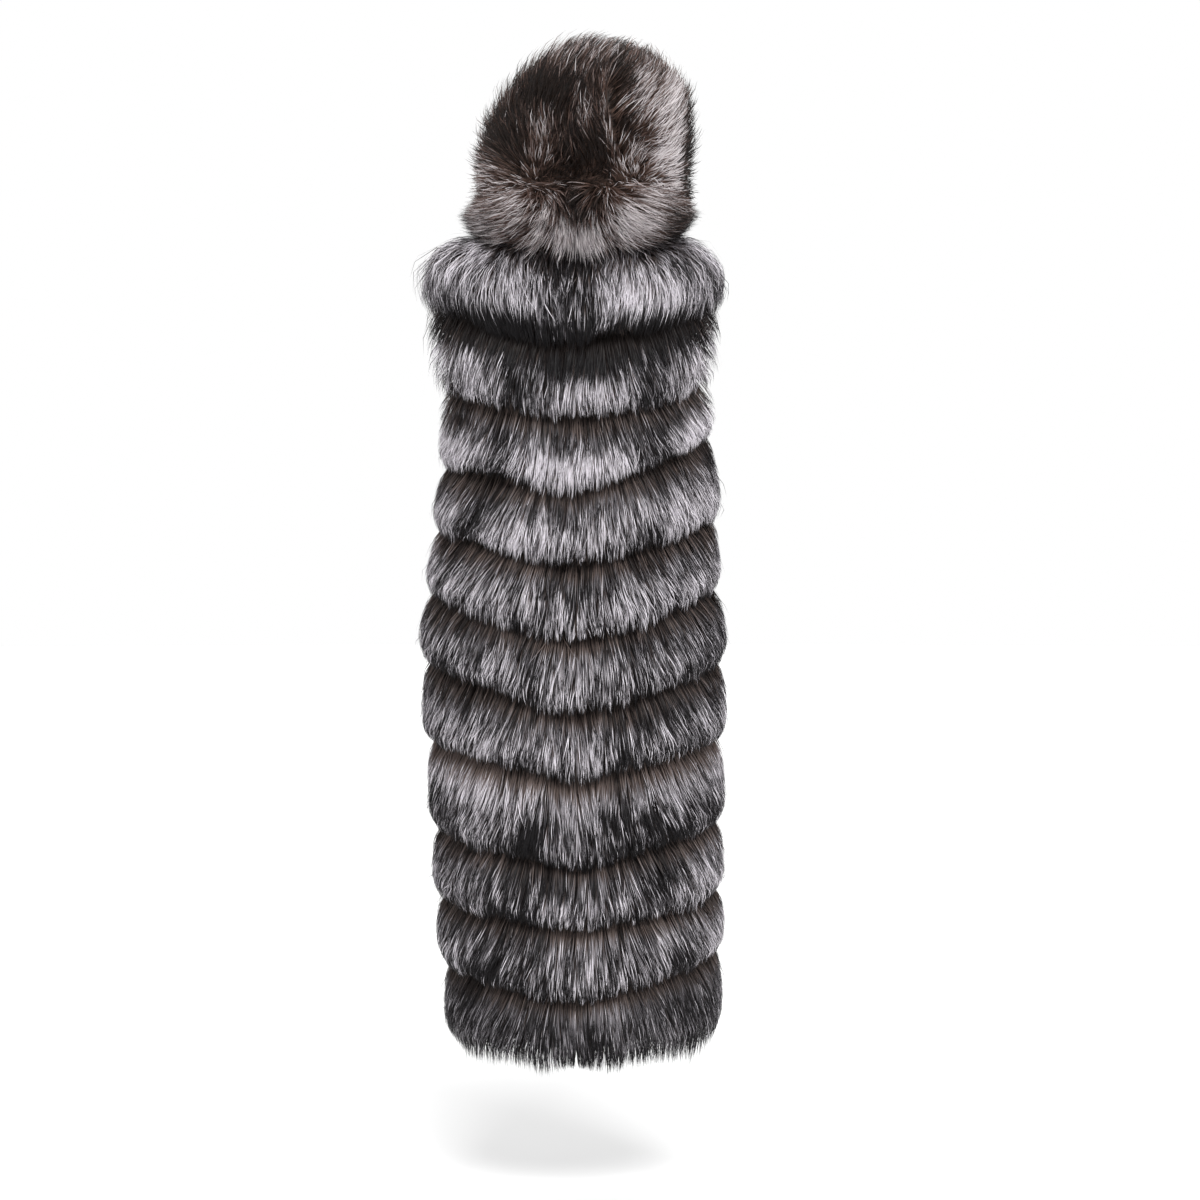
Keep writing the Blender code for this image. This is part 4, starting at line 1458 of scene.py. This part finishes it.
def hood_strands(side, chance):
    """All the hairs of a half of the hood."""
    place, up = sow(hood_surface(side), HAIRS_PER_M2 * HOOD_DENSER, chance)
    root, normal = hood_places(side, place, up)
    count = len(root)
    flow, lay = hood_comb(root, normal)
    turned = chance.random(count) < TURNED_DOWN * ramp(up, TURNED_TO, 0)
    flow = np.where(turned[:, None], -flow, flow)
    lay = np.where(turned, TURNED_LAY, lay)
    x, y = root[:, 0] + 3 * root[:, 1], root[:, 2] + root[:, 1]
    wander = waves(WANDER_WAVES, x, y) + chance.normal(0, WANDER_RANDOM, count)
    stray = chance.random(count) < 2 * STRAY_SHARE
    wander += stray * chance.normal(0, WANDER_STRAY, count)
    wander += WHORL_MIX * (1 - lay) ** 2 * chance.normal(0, 1, count)
    flow = unit(flow + wander[:, None] * np.cross(normal, flow))
    length = HOOD_HAIR * lay * chance.uniform(*HOOD_LENGTH_RANGE, count)
    pile, lift = hood_pile(place, up), hood_lift(root, chance)
    lines = np.empty((count, 4, 3))
    for i, step in enumerate(HAIR_STEPS):
        point, outward = egg(unit(root + flow * (length * step)[:, None]))
        rise = HOOD_ROOT_SHARE + (lift - HOOD_ROOT_SHARE) * (1 - (1 - step) ** HOOD_RISE_POWER)
        lines[:, i] = worn(point + (pile * rise)[:, None] * outward)
    facing = unit(worn(root + normal * 0.01) - worn(root))
    tone = hood_tone(root, lines[:, 2], facing, x, y, chance)
    width = some_widths(HOOD_HAIR_WIDTH, count, chance)
    return Strands(lines, facing, width, tone, chance.uniform(*HOOD_HOLD_RANGE, count))


print("longest hair of the hood in mm:", round(1000 * HOOD_HAIR * HOOD_LENGTH_RANGE[1]))

# %% Make the hood halves
def hood_wool(side):
    """The wool of a half of the hood."""

    def find(place, up):
        point, normal = hood_places(side, place, up)
        depth = HOOD_ROOT_SHARE * WOOL_DEEP * hood_pile(place, up)
        lifted = worn(point + depth[:, None] * normal)
        return lifted, lifted - worn(point)

    return lay_wool(0.001, 1, 30, 24, find)


for side, word in ((1, "left"), (-1, "right")):
    chance = np.random.default_rng([50, side + 1])
    strands = hood_strands(side, chance)
    surface, wool = hood_surface(side), hood_wool(side)
    hairs = dress(f"hood_{word}", (24, 18), surface, strands, wool, hood_fur, chance)
    print(word, "half of the hood, hairs:", hairs)

# %% [markdown]
# ## The nape band
#
# A band joins the hood to the neck seam. Its hair goes on where the hood's ends: it is brown
# at the top, fans out to both sides, away from the two whorls, and falls over the yoke in a
# pale fringe. Each hair starts on the band's leather, swings out, and comes down on the line
# of the collar's outer side, so its path is a curve with one pull point. The outer line is
# the same as the solid's: from the hood's base over a bulge to the collar's lip.

# %% Lines of the nape band
BAND_LIP_BACK = 0.058
BAND_LIP_SIDE = 0.082
BAND_LIP_OUT = STRIPS[0].pile * 0.80 + 0.0144
BAND_BULGE = 0.012


def band_lines(turn):
    """Five rings round the neck, as points for each turn from -1 to 1 and back to the nape at 0.

    They are the leather's top and bottom edge, then the outer side's top, bulge and lip.
    """
    side = np.where(turn < 0, -1.0, 1.0)
    place = np.abs(turn)
    at_neck = np.zeros_like(place)
    root, normal = hood_places(side, place, at_neck)
    top, outer_top = worn(root), worn(root + BAND_TOP_PILE * normal)
    front = panel_angle(1, np.maximum(2 * place - 1, 0), at_neck)
    angle = side * np.where(place < 0.5, place * math.pi, front)
    neck = body_points(angle, at_neck)
    lip_down = BAND_LIP_BACK + (BAND_LIP_SIDE - BAND_LIP_BACK) * np.sin(math.pi * place) ** 2
    point, outward = body_frames(angle, lip_down)
    lip = point + BAND_LIP_OUT * outward
    middle_inner, middle_outer = (top + neck) / 2, (outer_top + lip) / 2
    bulge = middle_outer + BAND_BULGE * unit(middle_outer - middle_inner)
    return top, neck, outer_top, bulge, lip


def band_surface(u, share):
    """The band's leather, from the hood's base down to the neck seam."""
    top, neck = band_lines(2 * u - 1)[:2]
    return top + (neck - top) * share[:, None]


print("lip of the collar at the back:", band_lines(np.array([0.0]))[4].round(3))

# %% Strands of the nape band
BAND_DENSER = 2.1
BAND_SOURCES = (0.059, -0.049)
BAND_SOURCE_HEIGHT = 0.090
BAND_SOURCE_SIZE = 0.014
BAND_DOWNWARD = 14.0
BAND_STEEPEST = 1.3
BAND_BEHIND = (0, 0.04)
BAND_FALL = (0.06, 0.94)
BAND_FALL_POWER = 0.75
BAND_FALL_RANDOM = 0.10
BAND_FALL_LIMITS = (0.02, 1.20)
BAND_SHORTER = 0.15
BAND_FRINGE = 0.10
BAND_FRINGE_WIDE = 0.05
BAND_LENGTH = 0.55
BAND_SWAY_WAVES = (Waves(0.012, 0.02, 0.5),)
BAND_SWAY_RANDOM = 0.004
BAND_RUFFLE = 0.010
BAND_RUFFLE_TO = 0.4
BAND_SWING = 0.034
BAND_FOLLOWS = 0.22
BAND_TONE = 0.56
BAND_TONE_WAVES = (Waves(0.275, 0.006, 1 / 3), Waves(0.125, 0.05, 1))
BAND_TONE_RANDOM = 0.17
BAND_HOLD_RANGE = (-0.1, 1.0)
BAND_ROOT = 2.0
BAND_ROOT_TO = 0.6
BAND_PATCHES = (
    # The first two are painted shade below the hood's base.
    Patch(0.048, -0.020, 0.012, 0.014, -0.40),
    Patch(-0.062, -0.018, 0.014, 0.012, -0.35),
    Patch(-0.165, 0.030, 0.030, 0.060, -0.22),
    Patch(-0.003, 0.056, 0.052, 0.030, -0.36),
    Patch(0.004, -0.002, 0.050, 0.026, 0.52),
    Patch(-0.091, 0.030, 0.034, 0.026, 0.28),
    Patch(0.120, 0.035, 0.045, 0.030, 0.04),
)


def band_slope(root):
    """How far the hairs on the back of the band lean to the side, away from the two whorls."""
    flow_x = np.zeros(len(root))
    flow_z = np.full(len(root), -BAND_DOWNWARD)
    for source in BAND_SOURCES:
        aside, above = root[:, 0] - source, root[:, 2] - BAND_SOURCE_HEIGHT
        near = aside**2 + above**2 + BAND_SOURCE_SIZE**2
        flow_x += aside / near
        flow_z += above / near
    slope = np.clip(flow_x / np.maximum(-flow_z, 1), -BAND_STEEPEST, BAND_STEEPEST)
    return ramp(root[:, 1], *BAND_BEHIND) * slope


def band_strands(chance):
    """All the hairs of the nape band."""
    u, share = sow(band_surface, HAIRS_PER_M2 * BAND_DENSER, chance)
    count = len(u)
    top, neck, outer_top, bulge, lip = band_lines(2 * u - 1)
    root = top + (neck - top) * share[:, None]
    slope = band_slope(root)
    fall = BAND_FALL[0] + BAND_FALL[1] * share**BAND_FALL_POWER + chance.normal(0, BAND_FALL_RANDOM, count)
    fall += BAND_FRINGE * np.exp(-((root[:, 0] / BAND_FRINGE_WIDE) ** 2)) * (root[:, 1] > 0)
    fall = np.clip(fall / (1 + BAND_SHORTER * slope**2), *BAND_FALL_LIMITS)[:, None]
    upper = outer_top + (bulge - outer_top) * np.minimum(fall * 2, 1)
    end = np.where(fall < 0.5, upper, bulge + (lip - bulge) * (fall * 2 - 1))
    out = unit(outer_top - top)
    end = root + (end - root) * chance.uniform(*LIFT_RANGE, count)[:, None]
    girth = 2 * u * BAND_LENGTH
    sway = waves(BAND_SWAY_WAVES, girth, share) + chance.normal(0, BAND_SWAY_RANDOM, count)
    along = unit(np.cross(out, np.array([0.0, 0.0, 1.0])))
    sway += slope * np.sign(along[:, 0]) * np.linalg.norm(end - root, axis=1)
    end = end + along * sway[:, None]
    end[:, 2] += BAND_RUFFLE * chance.normal(0, 1, count) * ramp(share, BAND_RUFFLE_TO, 0)
    lines = bent_lines(root, root + out * BAND_SWING + (end - root) * BAND_FOLLOWS, end)
    facing = unit(out + unit(end - root) * 0.2)
    tone = BAND_TONE + waves(BAND_TONE_WAVES, girth, share) + chance.normal(0, BAND_TONE_RANDOM, count)
    tone += patch_change(BAND_PATCHES, lines[:, 2, 0], lines[:, 2, 2])
    width = some_widths(HAIR_WIDTH, count, chance)
    hold = chance.uniform(*BAND_HOLD_RANGE, count) + BAND_ROOT * ramp(share, BAND_ROOT_TO, 0)
    return Strands(lines, facing, width, tone, hold)


print("markings on the nape band:", len(BAND_PATCHES))

# %% Make the nape band
def band_wool(turn, share):
    top, neck, outer_top, _, lip = band_lines(turn)
    skin = top + (neck - top) * share[:, None]
    outward = outer_top + (lip - outer_top) * share[:, None] - skin
    return skin + outward * ROOT_SHARE, outward


chance = np.random.default_rng(60)
strands, wool = band_strands(chance), lay_wool(-1, 1, 60, 6, band_wool)
hairs = dress("hood_nape_band", (48, 4), band_surface, strands, wool, hood_fur, chance)
print("nape band hairs:", hairs)

# %% [markdown]
# ## The brim
#
# A strip of dark fur rolls round the face opening. Its leather stands forward from the hood's
# edge, and the hairs fan round it, from the outer side over the front to the inner side, so
# the face would look out through a soft ring. The fan ends on the outline of the solid.

# %% Lines of the brim
BRIM_AT_CHIN = 0.62
BRIM_FULL_AT = 0.5
BRIM_LEATHER = 0.022
BRIM_LEATHER_OUT = 0.004
JUST_ABOVE = 0.01
JUST_BEHIND = 0.97


def brim_frames(turn):
    """The hood's face edge, its forward and outward directions and the brim's size there.

    turn runs from 0 at the chin on the worn left over the top, 0.5, to 1 on the right.
    """
    side = np.where(turn < 0.5, 1.0, -1.0)
    up = 1 - np.abs(2 * turn - 1)
    points = []
    for place, depth in ((1.0, 0.0), (1.0, JUST_ABOVE), (JUST_BEHIND, 0.0)):
        point, normal = hood_places(side, np.full_like(up, place), up)
        points.append(worn(point + depth * normal))
    edge, above, behind = points
    outward = unit(above - edge)
    forward = edge - behind
    forward = unit(forward - (forward * outward).sum(axis=1, keepdims=True) * outward)
    size = BRIM_AT_CHIN + (1 - BRIM_AT_CHIN) * np.minimum(1, up / BRIM_FULL_AT)
    return edge, forward, outward, size[:, None]


def brim_surface(turn, share):
    edge, forward, outward, size = brim_frames(turn)
    share = share[:, None]
    return edge + forward * (SEAM_GAP + BRIM_LEATHER * size * share) + outward * BRIM_LEATHER_OUT * share


print("brim at the top:", brim_frames(np.array([0.5]))[0].round(3))

# %% Strands of the brim
BRIM_DENSER = 4.5
# Where the fan ends, forward and out from the hood's edge, from its outer to its inner side.
BRIM_FAN = ((0.000, 0.034), (0.022, 0.038), (0.037, 0.027), (0.040, 0.008), (0.031, -0.006), (0.016, -0.009))
BRIM_FAN_RANDOM = 0.16
BRIM_LENGTH_RANGE = (0.85, 1.2)
BRIM_SWAY_WAVES = (Waves(0.012, 1 / 30, 0.5),)
BRIM_SWAY_RANDOM = 0.005
BRIM_SWING = 0.012
BRIM_INNER = 0.004
BRIM_FOLLOWS = 0.3
BRIM_TONE = 0.26
BRIM_TONE_WAVES = (Waves(0.2, 1 / 120, 0.5),)
BRIM_TONE_RANDOM = 0.14
BRIM_FINE = 0.85
BRIM_WOOL = 0.008


def brim_strands(chance):
    """All the hairs of the brim."""
    turn, share = sow(brim_surface, HAIRS_PER_M2 * BRIM_DENSER, chance)
    count = len(turn)
    root = brim_surface(turn, share)
    edge, forward, outward, size = brim_frames(turn)
    last = len(BRIM_FAN) - 1
    spot = np.clip(share + chance.normal(0, BRIM_FAN_RANDOM, count), 0, 1) * last
    reach, out = (np.interp(spot, np.arange(last + 1), ends)[:, None] for ends in zip(*BRIM_FAN))
    end = edge + (forward * reach + outward * out) * size * chance.uniform(*BRIM_LENGTH_RANGE, count)[:, None]
    sway = waves(BRIM_SWAY_WAVES, turn, share) + chance.normal(0, BRIM_SWAY_RANDOM, count)
    end = end + np.cross(outward, forward) * sway[:, None]
    swing = outward * BRIM_SWING * np.sign(out + BRIM_INNER) * size
    lines = bent_lines(root, root + swing + (end - root) * BRIM_FOLLOWS, end)
    facing = unit(outward * 0.7 + forward * 0.5 + 0.1 * unit(end - root))
    tone = BRIM_TONE + waves(BRIM_TONE_WAVES, turn, share) + chance.normal(0, BRIM_TONE_RANDOM, count)
    width = some_widths(HAIR_WIDTH * BRIM_FINE, count, chance)
    return Strands(lines, facing, width, tone, chance.uniform(*BAND_HOLD_RANGE, count))


print("places of the brim's fan:", len(BRIM_FAN))

# %% Make the brim
def brim_wool(turn, share):
    outward, size = brim_frames(turn)[2:]
    return brim_surface(turn, share) + outward * BRIM_WOOL * size * (1 - share[:, None] ** 2), outward


chance = np.random.default_rng(70)
strands, wool = brim_strands(chance), lay_wool(0, 1, 50, 5, brim_wool)
hairs = dress("hood_brim", (40, 3), brim_surface, strands, wool, hood_fur, chance)
print("brim hairs:", hairs)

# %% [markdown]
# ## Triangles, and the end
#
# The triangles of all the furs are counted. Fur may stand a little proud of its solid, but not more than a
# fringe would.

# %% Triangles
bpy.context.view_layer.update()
furs = [piece.data for piece in bpy.data.objects if piece.name.endswith("_fur")]
triangles = sum(len(fur.loops) - 2 * len(fur.polygons) for fur in furs)
print("triangles in the fur:", triangles)
